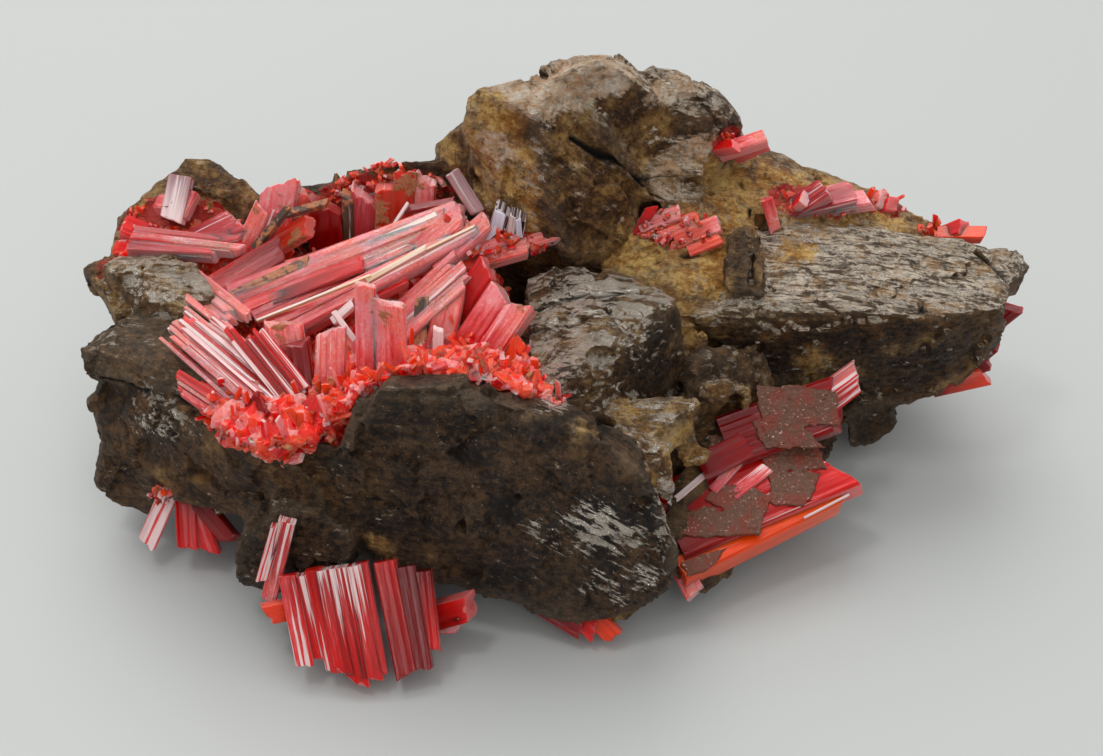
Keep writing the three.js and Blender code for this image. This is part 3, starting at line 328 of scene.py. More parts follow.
# node: its crystals
GROUPS = {
    "left_ridge_crystals": [
        ((-44.3, 22, 30.5), (-45.3, 17.8, 27.2), 2.6, 2.4, UP, ("pearl", "white")),
        ((-47, 20, 28), (-45, 19, 28.5), 2, 2, UP, "lilac"),
        ((-43, 21, 29), (-44.5, 18, 27), 1.6, 2, UP, "lilac"),
    ],
    "rim_crystal": [((-11.5, 15, 36.5), (-8.5, 13, 32), 1.5, 1.1, UP, "pearl")],
    "saddle_crystals": [
        ((10.4, 14.4, 28.7), (15.2, 15, 30.6), 2.0, 1.6, (0.1, -0.4, 0.9), "dusty"),
        ((12, 12.9, 28.4), (17.4, 14.2, 30.2), 2.2, 1.6, (0.1, -0.4, 0.9), "orange"),
        ((14.4, 11.9, 28.6), (19.8, 13.6, 30), 2.2, 1.6, (0.1, -0.4, 0.9), ("orange", "dusty")),
        ((15.8, 10.9, 28.2), (19.6, 12, 29.1), 1.8, 1.4, (0.1, -0.4, 0.9), "orange"),
        ((9.8, 13.8, 27.6), (11.8, 15.6, 31.2), 1.2, 1.2, FRONT, "red"),
    ],
    "saddle_sliver": [((25.3, 16.5, 31.5), (26.6, 15.5, 27.5), 1.4, 1.2, FRONT, "pink")],
    "tower_crystals": [
        ((20, 21.5, 34.5), (25.2, 20.5, 37.4), 1.8, 1.6, UP, "pink"),
        ((22, 22.5, 33.5), (25.6, 21, 36.4), 1.8, 1.6, UP, "red"),
        ((19.6, 21.5, 35), (21.8, 19.6, 37), 1.4, 1.4, UP, "red"),
    ],
    "rear_crystals": [
        ((27.5, 19.5, 26), (32.8, 19.2, 31), 3, 2, UP, "mauve"),
        ((28.5, 19.5, 27.6), (36, 19.5, 30), 3, 2, UP, "mauve"),
        ((32, 19.5, 28), (38, 19.2, 29.2), 2.4, 2, UP, "lilac"),
        ((28.5, 20.5, 26), (30.2, 18.5, 30.2), 2.2, 1.6, UP, "pink"),
    ],
    "rear_edge_crystals": [
        ((36.6, 22, 24.5), (40, 21.5, 27.8), 2, 1.6, UP, "pink"),
        ((38.4, 22, 24), (41.2, 21, 27.4), 1.6, 1.6, UP, "red"),
    ],
    "rear_corner_crystals": [
        ((45.5, 19, 23), (49.6, 18.2, 26.2), 2, 1.6, UP, "red"),
        ((46.5, 18.5, 24.6), (51.8, 17.2, 25.6), 1.8, 1.6, UP, "orange"),
    ],
    "right_end_crystals": [
        ((46.5, 9, 8.5), (53, 9.5, 10), 2.2, 2.6, FRONT, ("dark", "orange")),
        ((48, 11, 9), (53.2, 10.5, 11.5), 2.4, 2.4, FRONT, "dark"),
        ((50, 12, 8), (53.4, 10.5, 14.5), 2, 2, FRONT, "dark"),
        ((51, 13, 12), (55.8, 13, 17.8), 2, 2, FRONT, "dark"),
    ],
    "large_crystals": [
        ((13, -14.5, 7.9), (31.6, -6.3, 10.5), 9.4, 4.2, (-0.1, -0.4, 1), ("dark", "red")),
        ((14.4, -19.6, 5.7), (33.3, -9.5, 8.3), 3.0, 4.0, (-0.1, -0.4, 1), "amber"),
        ((17, -9.5, 12.5), (22.6, -7, 14), 3, 1.4, (-0.2, -0.6, 1), "dark"),
        ((20, -5.5, 12.5), (33.2, -1.9, 15.6), 6, 4.5, (-0.2, -0.8, 1), "dark"),
        ((30.5, -1.6, 14.6), (35.6, 0.2, 18.3), 3, 3, (0.6, -0.8, 0.4), ("mauve", "silver")),
        ((14.5, -18, 6), (16.4, -20.8, 3.6), 2.4, 2.2, FRONT, "pink"),
        ((18.4, -11.6, 11), (22.4, -7.2, 12.7), 1.1, 0.7, (-0.1, -0.4, 1), "lilac"),
        ((20.6, -12, 10.8), (25, -8.6, 12), 1.6, 0.7, (-0.1, -0.4, 1), ("lilac", "silver")),
        ((13.4, -13.4, 10.6), (17.6, -9.8, 11.9), 0.7, 0.6, UP, "white"),
        ((28.8, -13.9, 9.0), (34.2, -10.9, 9.8), 0.22, 0.3, UP, "white"),
    ],
    "bottom_crystals": [
        ((-1, -23, 4.5), (3.5, -24.8, 2.5), 2.2, 2, FRONT, "dark"),
        ((1, -22, 4.5), (5, -25.2, 2.2), 2.2, 2, FRONT, "red"),
        ((3.5, -22, 4), (7.2, -25.4, 1.6), 2.2, 2, FRONT, "orange"),
    ],
    "hanging_crystals": [
        ((-27.5, -25, 6.5), (-31.6, -26.5, 6.7), 2.2, 1.8, FRONT, "orange"),
        ((-28.9, -24.5, 11), (-27.2, -30.2, 3), 1.9, 1.9, FRONT, ("pink", "silver")),
        ((-27.5, -24.5, 11), (-25.6, -29.7, 2.8), 2.0, 2, FRONT, ("silver", "red")),
        ((-26, -24.5, 12), (-23.9, -30.6, 2.4), 1.8, 2, FRONT, ("red", "silver")),
        ((-24.8, -24.5, 12), (-22.6, -31.2, 2.4), 2.0, 2.1, FRONT, ("silver", "red")),
        ((-23.6, -24.3, 12), (-21.3, -31.8, 1.4), 2.4, 2.2, FRONT, ("silver", "red")),
        ((-22, -24, 12), (-19.6, -31.6, 1.7), 2.2, 2.1, FRONT, ("silver", "red")),
        ((-20.8, -23.5, 12), (-18.6, -31.1, 2.5), 1.3, 2, FRONT, "red"),
        ((-18.3, -22.8, 11.5), (-15.8, -31, 1.9), 2.4, 2.8, FRONT, ("red", "dark")),
        ((-16.2, -23.2, 11), (-14.2, -30.6, 2.3), 2.4, 2.6, FRONT, "dark"),
        ((-14.4, -23.4, 10.5), (-13.5, -28.8, 3.6), 2.4, 2.4, FRONT, ("dark", "red")),
        ((-14, -24, 3.4), (-8.9, -25.6, 7.2), 3.0, 2.4, FRONT, "red"),
        ((-14, -24.2, 2.6), (-10, -26, 4.8), 2, 1.8, FRONT, "pink"),
    ],
    "lower_left_crystals": [
        ((-44, -7.5, 8.5), (-47.2, -12.2, 3), 2.2, 2, FRONT, "silver"),
        ((-42.5, -8, 8.5), (-42, -13.4, 3.4), 2.4, 2.2, FRONT, "red"),
        ((-42, -8.5, 8), (-39.6, -13.4, 3), 2.2, 2, FRONT, "red"),
        ((-41, -9.5, 7.5), (-36.8, -13.6, 5), 2, 2, FRONT, "dark"),
    ],
    "silver_crystal": [
        ((-28.8, -21.5, 16.5), (-31.6, -24, 6), 1.8, 1.4, FRONT, ("silver", "lilac")),
        ((-30, -21.5, 15.5), (-32, -23.6, 9), 1.3, 1.4, FRONT, "silver"),
    ],
}

# Brown crusts on the broad faces of the large crystals: which crystal, and the outline of the crust.
COATS = [
    (3, [
        (23.8, -1.6, 18.3), (28.5, -1.8, 18.3), (33, -2.4, 18), (33.2, -5.5, 15.8), (24.2, -5.9, 15.4),
    ]),
    (3, [(23.2, -5.2, 16), (29, -5.7, 15.7), (31.4, -7.6, 14), (24.3, -7.6, 14)]),
    (0, [(18.5, -4.5, 13.5), (21.9, -6, 12.9), (21.3, -8.6, 12), (17.9, -6.9, 12.7)]),
    (0, [
        (22.9, -4.8, 13.2), (29.2, -3.8, 13.6), (31.3, -7, 12.5), (31.6, -8.8, 11.9),
        (24.8, -9.2, 11.9),
    ]),
    (0, [
        (25, -9.3, 11.8), (30.9, -9.2, 11.6), (30, -11.4, 11), (28.8, -13.4, 10.3), (25, -13.2, 10.4),
    ]),
    (0, [
        (17.2, -12.5, 10.7), (19.5, -10.7, 11.3), (22.8, -11.2, 11.1), (25.2, -12.5, 10.8),
        (19.8, -14, 10.3),
    ]),
    (0, [(19.4, -13.6, 10.3), (25, -12.6, 10.6), (24, -15.2, 9.9), (20, -14.7, 10.1)]),
    (0, [
        (13.2, -16.5, 9.4), (14.9, -14.4, 10.1), (17.6, -13.4, 10.4), (20.2, -14.4, 10.1),
        (18.6, -17.2, 9.2),
    ]),
    (0, [(18.4, -17, 9.2), (20, -14.5, 10), (23.8, -15, 9.8), (23.6, -16.8, 9.2)]),
    (1, [(14.6, -19.8, 8), (19.8, -17.9, 8.6), (18.4, -20, 8), (15.2, -21.4, 7.4)]),
]

# ---------------------------------------------------------------- rock
# Each block is the hull of its corners. Together they make one piece of rock.
BLOCKS = {
    "front_boulder": [
        (-21, -16, 29), (-18, -17, 32), (-10, -17, 32), (-6, -18.5, 31), (-1, -19, 30), (4, -19.5, 28),
        (8, -20.5, 25), (12, -22.5, 20), (14, -23, 12), (13.5, -23.5, 7), (10, -24.5, 5), (5.5, -26, 4),
        (0, -24.5, 4), (-8, -23.5, 6), (-13.5, -22, 7), (-19, -21, 8), (-22.5, -20, 10),
        (-25, -19.5, 15), (-25, -18.5, 20), (-23, -18, 25), (-5, -24, 18), (-17, -12, 30),
        (-8, -12, 30), (2, -14, 27), (9, -14, 22), (-18, -8, 4), (0, -8, 4), (11, -12, 5),
    ],
    "left_bank": [
        (-52, -2, 20), (-44, -5, 22), (-38, -9, 24.5), (-31, -17.5, 23.5), (-26, -19.5, 21),
        (-24.5, -19, 15), (-30, -17, 12), (-36.5, -15, 10), (-44.5, -10, 8), (-49, -8, 9),
        (-53, -4, 12), (-53.5, -3, 17), (-50, 4, 19), (-40, 2, 20), (-30, -10, 20), (-28, -8, 6),
        (-40, 4, 5), (-50, 4, 10),
    ],
    "left_slab": [
        (-54, -1.5, 24), (-51, -0.5, 25.5), (-44, -3, 26), (-39, -7.5, 26.5), (-37.5, -9.5, 25.5),
        (-40, -9, 23), (-46, -6.5, 21.5), (-52, -4, 20), (-54, -3, 21), (-50, 5, 24), (-42, 4, 25),
        (-46, 2, 18),
    ],
    "left_foot": [
        (-52.5, -5, 12.5), (-54, -7, 8), (-52, -8, 5), (-47, -9.5, 4), (-44.5, -9, 7), (-45, -9, 12),
        (-51, 3, 11), (-42, 3, 8), (-44, 0, 4), (-50, 0, 4),
    ],
    "left_brow": [
        (-52.5, 10, 27), (-46, 8, 29), (-41, 8, 28.5), (-38, 3.5, 28), (-43, 2, 26.5), (-50, 6.5, 25.5),
        (-54, 10.5, 21), (-49.5, 4.5, 19), (-43, 1, 20), (-51, 16, 24), (-43, 13, 24), (-42, 8, 12),
        (-51, 12, 12),
    ],
    "left_knob": [
        (-56, 13.5, 23.5), (-54.5, 11, 24), (-53, 9.5, 21), (-55.5, 13, 20), (-52, 15, 25),
        (-51, 13, 19),
    ],
    "left_ridge": [
        (-53.5, 20, 23), (-53, 22, 25), (-49, 21.5, 27.5), (-46.5, 25, 29), (-44.5, 26, 30.5),
        (-41, 26, 30.5), (-37.5, 23, 29.5), (-34.5, 21.5, 27.5), (-37, 19.5, 25.5), (-42, 19, 22.5),
        (-50, 17, 22), (-53, 14, 22), (-44, 32, 22), (-35, 30, 20), (-51, 27, 19), (-50, 16, 12),
        (-40, 17, 10), (-38, 29, 10),
    ],
    "rear_ridge": [
        (-35, 21.5, 26.5), (-32.5, 24, 27.5), (-29, 22.5, 27.5), (-25, 22.5, 29), (-22, 22.5, 30.5),
        (-17.5, 23, 32.5), (-13, 23, 32.5), (-12, 21, 28.5), (-16, 20.5, 26), (-23, 20, 23.5),
        (-32, 19.5, 23), (-39, 28, 22), (-38, 24, 26), (-33, 29, 20), (-20, 31, 22), (-7, 29, 26),
        (-7, 20, 27), (-37, 20, 10), (-7, 17, 12), (-8, 29, 10), (-36, 28, 10),
    ],
    "tower_pillar": [
        (-9.1, 16, 47.3), (-9.7, 15, 44.1), (-1.8, 18, 46.9), (2.1, 19, 47.3), (-2, 13.5, 45.8),
        (2.4, 17.3, 43.8), (8.4, 16.8, 35.7), (11.1, 17, 32), (10.5, 14.8, 30.2), (6.1, 10.6, 28.2),
        (0.5, 9.3, 32.9), (2.1, 9, 29.4), (-7.4, 13, 32.5), (-6, 13.5, 28), (-10.3, 18, 38),
        (-9, 26, 40), (3, 26, 42), (9, 26, 36), (-9, 29, 20), (9, 29, 20), (-7, 17, 14), (8, 13, 14),
    ],
    "tower_back": [
        (-1.8, 18, 46.9), (2.1, 18.5, 47.7), (5.2, 18.7, 49.8), (7.9, 19.5, 47.8), (9.9, 20, 45.7),
        (5.2, 18.5, 45.3), (10.2, 20.5, 42.9), (16.2, 22, 38.9), (16.7, 22, 34.3), (12.8, 20, 34.9),
        (9.3, 19, 36.7), (-1, 26, 44), (8, 27, 45), (16, 29, 37), (8, 31, 20), (17, 29, 20),
        (10, 18, 20),
    ],
    "tower_fin": [
        (1.8, 16.8, 44.6), (4.4, 17.3, 44.2), (9.3, 17.2, 37.2), (12.4, 17, 33), (12.4, 15.6, 31),
        (10.4, 15.5, 33.4), (5.6, 15.8, 39.8), (4, 21, 42), (12, 21, 34), (12, 20, 28), (8, 20, 28),
    ],
    "tower_right": [
        (10.2, 24, 44.6), (11.3, 25, 44.7), (14.8, 25, 43.9), (17.4, 25, 42.3), (19.4, 25, 41.5),
        (19.8, 24, 40.2), (22.4, 24.5, 37.9), (23.1, 25, 35.6), (10.2, 21.5, 42.3), (12.7, 22, 40),
        (16.2, 21.5, 39.5), (19.6, 22, 38.9), (10.4, 21, 35.3), (16.6, 20.5, 35.3), (20, 20.7, 33.3),
        (23.1, 23.5, 34.9), (22.5, 24, 31), (12, 29, 42), (20, 30, 37), (22, 31, 20), (10, 31, 20),
        (12, 22, 18), (21, 23, 18),
    ],
    "ledge_upper": [
        (10.9, 18.3, 34.9), (13.4, 20.2, 35.6), (17.8, 19.2, 34.3), (18, 18, 33.5), (12.2, 17.2, 33.9),
        (11.4, 17.6, 33.1), (17.8, 17.8, 32.9), (12, 24, 34.5), (19, 24, 33), (12, 24, 31),
        (19, 24, 31),
    ],
    "ledge_lower": [
        (11.9, 17, 32.9), (17.9, 16.4, 32.1), (13.3, 15.4, 31.9), (17, 15.4, 31.4), (13, 15.4, 30.5),
        (17.5, 15.7, 30.3), (12, 22, 32), (19, 22, 31), (12, 22, 29), (19, 22, 29),
    ],
    "tower_step": [
        (-14.5, 25, 33), (-13, 24, 35.5), (-10, 21, 39), (-9, 19, 33), (-13.5, 24, 30), (-8, 28, 38),
        (-12, 28, 31), (-8, 20, 26),
    ],
    "middle_block": [
        (-3.1, 5.4, 28.8), (1.5, 6.4, 30), (6.4, 5, 30.3), (9.8, 2.5, 30.5), (12.1, 1.6, 30.5),
        (14, 0, 30), (14, -0.6, 28.8), (8.4, -2.8, 31), (6.2, -4.5, 31.2), (5.9, -7.1, 30),
        (2.9, -10.5, 29.5), (0.3, -12.5, 28.5), (-0.9, -13.2, 28), (-3.1, 1.1, 28), (-2.5, -6, 26.5),
        (4.8, -13, 23.2), (9.5, -6.3, 22.6), (10, -4.5, 25.7), (15.8, 0, 21.4), (14, -2.6, 18.7),
        (-4, 4, 14), (-2, -11, 14), (10, -4, 12), (15, 3, 12),
    ],
    "middle_fin": [
        (14, 1.5, 27.2), (15.6, 1.8, 26), (17.9, 1.2, 23.2), (17, -0.6, 20.3), (15.4, -1, 21),
        (15, 3, 19), (18, 3, 19), (14, -0.2, 25),
    ],
    "upper_chip": [
        (6.2, -10.6, 24), (10.1, -9.8, 24.2), (16, -9.3, 23.2), (13.8, -12.1, 22.5), (12.9, -13, 20.5),
        (6.2, -12.1, 23), (16.6, -9.7, 21.5), (16.3, -10.9, 18.5), (13.5, -13.4, 19), (6, -9, 15),
        (10, -4, 15), (15, -5, 15), (16, -6, 18),
    ],
    "lower_chip": [
        (4.4, -14.2, 24), (6.7, -13.4, 23.8), (10, -13.9, 22.9), (13.4, -14.2, 20.3),
        (13.6, -16.8, 14.7), (10, -18.1, 18.3), (8.6, -18.2, 19.9), (5.6, -16.8, 23.4), (12, -9, 17),
        (13.5, -11, 12), (8, -12, 14),
    ],
    "ochre_chip": [
        (14, -12, 17.8), (16.1, -11, 18.2), (18.2, -11, 16.8), (17.6, -12.3, 15.8), (14.9, -13.2, 15.2),
        (15, -8, 14), (18, -8, 13.5),
    ],
    "saddle_front": [
        (6, 10.5, 26), (9, 14.5, 28), (12.2, 15.9, 29.8), (16.3, 16.6, 31.2), (20.7, 19.5, 31),
        (24.5, 17, 30), (24, 14.5, 28.5), (21, 6.5, 25.5), (13, 6, 27), (16, 4, 24), (8, 6, 20),
        (8, 18, 14), (24, 22, 14), (22, 8, 14),
    ],
    "saddle_rear": [
        (14, 24, 31), (20.5, 26, 32), (25.5, 28, 31), (27.5, 26, 29.5), (30, 27.5, 28.5),
        (34.5, 27, 27.5), (38, 24.5, 26.5), (42, 21, 25.5), (47, 20.5, 25), (22, 18, 29),
        (30, 17, 27.5), (46, 15, 25), (24, 36, 19), (36, 33, 17), (48, 26, 16), (16, 34, 19),
        (48, 18, 10), (36, 29, 7), (18, 31, 7), (16, 20, 10),
    ],
    "saddle_post": [
        (20.3, 13.1, 29.9), (22.8, 13.4, 30.2), (22.8, 9, 29.4), (20.2, 9, 29.3), (22.7, 4.8, 27),
        (20.1, 4.9, 26.7), (20.3, 8, 22), (22.7, 8, 22),
    ],
    "thin_post": [
        (23.7, 13, 30.1), (24.8, 13, 29.9), (24.4, 4.4, 26.9), (23.4, 4.4, 26.8), (23.6, 8, 22),
        (24.6, 8, 22),
    ],
    "right_slab": [
        (20, 13, 27), (27, 17, 28), (36.5, 16.5, 28), (45.5, 15.5, 27), (52, 15, 26), (54.5, 11, 23.5),
        (54, 9, 16), (52.8, 9, 14), (51.3, 8.3, 11), (47.3, 7.5, 8), (43.9, 7.5, 6.5), (37.5, 7.8, 8),
        (27.2, 5, 13), (19.5, 3.7, 20), (16, 3.7, 24), (21.7, 4.5, 26), (28.5, 3.2, 26),
        (35.3, 2.2, 26), (44.7, 3.2, 25), (52.4, 5.2, 24), (50, 20, 12), (40, 24, 8), (22, 20, 8),
    ],
    "right_tip": [
        (51, 14, 25.8), (55.3, 15.8, 25), (57.5, 14.6, 23), (56, 12.6, 20), (54, 10, 21), (52.5, 9, 24),
        (52, 19, 22), (51, 12, 18),
    ],
    "right_foot": [
        (42.5, 8, 8), (41.5, 6, 4), (39.3, 5, 2), (36.4, 4, 3), (36, 4.5, 8), (38, 10, 10), (43, 14, 8),
        (42, 13, 3), (36, 12, 3),
    ],
    "rubble": [
        (16, -1, 23.2), (20, 1.5, 22.2), (25, 3, 20.2), (26, 0, 17.8), (21, -2, 18.3), (16.5, -3, 20),
        (14, -2, 12), (26, 3, 12), (24, -4, 12), (15, -7, 12),
    ],
    "rubble_left": [
        (17.6, -4.9, 21.4), (20.7, -3.9, 21.4), (20.9, -4.9, 19.8), (18.4, -5.8, 18.6),
        (16.6, -5.4, 20), (17, -1, 18), (21, -1, 18), (19, -3, 14),
    ],
    "rubble_right": [
        (21.2, -4.1, 20.5), (23, -3.1, 20.3), (23.2, -4.9, 18.3), (21.6, -5.2, 17.8), (21.2, -1.2, 18),
        (23, -1.2, 18), (22, -3, 14),
    ],
    "small_block": [
        (-35.5, -21.4, 10), (-33.8, -20.5, 14), (-29.3, -19, 17), (-25.2, -20.7, 18),
        (-21.5, -22.5, 14), (-24.1, -23.1, 7), (-31.2, -22.4, 4.5), (-36.1, -20.4, 4.5), (-34, -12, 12),
        (-22, -12, 12), (-32, -12, 5), (-22, -14, 5),
    ],
    "front_notch": [
        (-31, -16.5, 22), (-24, -17.5, 24.5), (-21.5, -18.5, 20), (-22.5, -20.5, 14), (-30, -19.5, 13),
        (-32, -17, 18), (-24, -12, 20), (-30, -12, 20), (-28, -12, 12),
    ],
    "under_front": [
        (-4, -22, 5), (3, -25.5, 3.5), (9, -24.5, 3), (13, -22, 5), (10, -12, 3), (-4, -12, 3),
        (2, -18, 12),
    ],
    "right_keel": [
        (14, -18.5, 8), (18, -19, 5), (17.5, -20.5, 3), (21, -17, 3), (15, -20.5, 5), (30, -3, 6),
        (35, 2, 6), (22, -3, 14), (34, 5, 12), (14, -10, 12), (18, -10, 3), (28, 2, 3), (11, -21, 9),
        (11, -12, 4),
    ],
    "body": [
        (-46, -2, 7), (-30, -13, 5), (-8, -17, 4), (10, -17, 4), (26, -2, 5), (46, 13, 7), (48, 20, 10),
        (42, 27, 8), (20, 32, 6), (-10, 31, 6), (-38, 28, 8), (-50, 18, 9), (-44, 4, 14), (-28, -9, 14),
        (-6, -11, 14), (12, -8, 14), (30, 6, 14), (40, 18, 15), (18, 28, 15), (-12, 27, 14),
        (-40, 20, 14),
    ],
    "rear_fill": [
        (-10, 24, 12), (-11, 28.5, 12.5), (-9.5, 28.6, 21), (-10, 24, 22), (4, 31, 13), (8, 30.6, 21),
        (17, 31, 13), (17, 29.5, 21), (17, 24, 22), (16, 24, 12),
    ],
    "foot_left": [
        (-48, 2, 9), (-36, -8, 8), (-24, 6, 8), (-34, 18, 8), (-41, 2, -1), (-34, -3, -1), (-31, 5, -1),
        (-38, 8, -1),
    ],
    "foot_right": [
        (18, 8, 8), (30, 0, 8), (44, 12, 8), (34, 26, 8), (20, 22, 8), (28, 9, -1), (36, 12, -1),
        (34, 18, -1), (27, 17, -1),
    ],
    "foot_front": [
        (-16, -14, 7), (-2, -18, 5), (12, -14, 6), (8, -2, 7), (-12, -2, 7), (-6, -13, -1),
        (2, -14, -1), (5, -8, -1), (-5, -8, -1),
    ],
    "foot_rear": [
        (-22, 22, 8), (-8, 12, 7), (8, 18, 7), (2, 30, 8), (-14, 30, 8), (-9, 19, -1), (-1, 20, -1),
        (0, 25, -1), (-8, 26, -1),
    ],
}

# what each block is like: how dark, ochre, pale on top and silvery on top it is
CHARACTER = {
    "front_boulder": (0.90, 0.05, 0.0, 0.12),
    "left_bank": (0.60, 0.15, 0.0, 0.22),
    "left_slab": (0.60, 0.10, 0.2, 0.35),
    "left_foot": (0.80, 0.00, 0.0, 0.10),
    "left_brow": (0.00, 0.35, 0.6, 0.60),
    "left_knob": (0.00, 0.45, 0.2, 0.20),
    "left_ridge": (0.20, 0.35, 0.1, 0.15),
    "rear_ridge": (0.45, 0.25, 0.1, 0.20),
    "tower_pillar": (0.25, 0.25, 0.4, 0.15),
    "tower_back": (0.50, 0.20, 0.8, 0.15),
    "tower_fin": (0.30, 0.35, 0.5, 0.20),
    "tower_right": (0.70, 0.10, 0.7, 0.30),
    "ledge_upper": (0.10, 0.45, 0.8, 0.30),
    "ledge_lower": (0.20, 0.40, 0.7, 0.30),
    "tower_step": (0.30, 0.50, 0.2, 0.10),
    "middle_block": (0.55, 0.20, 0.1, 0.90),
    "middle_fin": (0.20, 0.55, 0.1, 0.30),
    "upper_chip": (0.00, 0.50, 0.4, 0.55),
    "lower_chip": (0.00, 0.50, 0.5, 0.70),
    "ochre_chip": (0.00, 0.60, 0.3, 0.30),
    "saddle_front": (0.00, 0.95, 0.4, 0.20),
    "saddle_rear": (0.25, 0.50, 0.4, 0.15),
    "saddle_post": (0.60, 0.25, 0.2, 0.15),
    "thin_post": (0.50, 0.30, 0.2, 0.15),
    "right_slab": (0.50, 0.15, 0.9, 0.50),
    "right_tip": (0.40, 0.10, 0.8, 0.50),
    "right_foot": (0.95, 0.00, 0.0, 0.10),
    "rubble": (0.50, 0.15, 0.3, 0.35),
    "rubble_left": (0.00, 0.45, 0.6, 0.30),
    "rubble_right": (0.00, 0.45, 0.6, 0.30),
    "small_block": (0.85, 0.05, 0.0, 0.20),
    "front_notch": (0.70, 0.10, 0.0, 0.25),
    "under_front": (0.60, 0.20, 0.0, 0.30),
}
PLAIN_ROCK = (0.75, 0.10, 0.0, 0.08)
TRAITS = ("dark", "ochre", "pale", "silver")

# trait: (middle, radii, strength) of each spot that has it, or has more of it than its block
SPOTS = {
    # painted shade: the slab's low front face and the recess between the middle block and the chips are
    # darkened where they lie in shade
    "dark": [
        ((36, 4.5, 14), (22, 3.0, 9), 0.9),
        ((12, -5, 25), (5, 8, 5), 0.9),
    ],
    "ochre": [
        ((-7, 15, 43), (4, 5, 5), 0.9),
        ((-5, 13, 36), (3.5, 4, 6), 1.0),
        ((28, 12, 28), (3.2, 2.6, 2), 1.1),
        ((26, 16, 28), (6, 2, 2), 0.8),
        ((31.5, 4, 17), (2.5, 3, 5), 0.5),
        ((13, 6.5, 26.5), (6, 3.5, 3), 0.9),
        ((24, 21, 31), (9, 5, 5), 0.9),
        ((38, 22, 27), (9, 4, 4), 0.8),
        ((-19, -20.5, 12), (1.5, 2, 2), 0.5),
        ((2.5, -18.5, 28.6), (6, 1.6, 1.6), 0.35),
    ],
    "pale": [((3, 20, 48.5), (9, 6, 3), 1.0)],
    "silver": [((-45, 6.5, 28), (8, 5, 3), 0.7)],
    # silvery whichever way it faces
    "flash": [
        ((4.5, -22.5, 16.5), (5.5, 4, 3), 0.80),
        ((8, -24, 9.5), (4, 3, 2.5), 0.72),
        ((12, -20, 16), (2, 4, 4), 0.7),
        ((-42, -7, 20), (5, 4, 3), 0.6),
        ((0, -12, 29.5), (2.5, 4, 3), 1.0),
        ((12.5, -17, 15), (2, 3, 3), 0.9),
        ((-1.5, 12.5, 38), (1.6, 3, 9), 0.55),
    ],
    # streaked downwards to the right
    "slant": [
        ((4, -23, 15), (12, 6, 12), 1.0),
        ((4, 14, 40), (11, 7, 10), 1.0),
        ((-42, -7, 20), (8, 6, 6), 1.0),
    ],
    # bleached whichever way it faces
    "bleached": [
        ((2.5, 18, 47.6), (6.5, 4.6, 2.6), 1.2),
        ((-0.5, 17, 45.8), (3.5, 3, 1.0), 0.8),
        ((14, 23, 42.5), (4, 3, 1.3), 0.5),
        ((17.5, 20, 36), (2.6, 2, 1.6), 0.5),
        ((13.5, 18, 34), (3, 2, 1.6), 0.45),
        ((-6, 13, 41), (2, 3, 2), 0.5),
    ],
    # smooth on its broad faces
    "flatness": [((37, 9.5, 28), (20, 9, 3), 0.7), ((22.5, 8.5, 28), (3, 5, 3), 0.6)],
    # split in layers on its steep faces
    "layered": [((37, 5, 20), (22, 7, 12), 1.0), ((2, -2, 26), (14, 16, 7), 0.5)],
    # a crust of small crocoite
    "crust": [
        ((-46, 18, 26), (7, 4, 4), 1.0),
        ((-31, 20, 26), (5, 3, 3), 1.0),
        ((-22, 20, 29), (10, 3, 4), 0.9),
        ((14, 13, 29.3), (3.4, 2, 1.6), 0.9),
        ((22, 21.5, 35.5), (3, 3, 2), 0.8),
        ((32, 20, 29), (6, 2.5, 2), 0.9),
        ((39, 21.5, 26.5), (4, 2, 2), 0.8),
        ((47, 18.5, 25), (4, 2, 1.5), 0.7),
        ((-52, 14, 24), (2.5, 3, 2), 0.7),
        ((-36, 1, 24), (4, 8, 3), 0.8),
        ((-30, -15, 24), (5, 3, 2), 0.8),
    ],
}

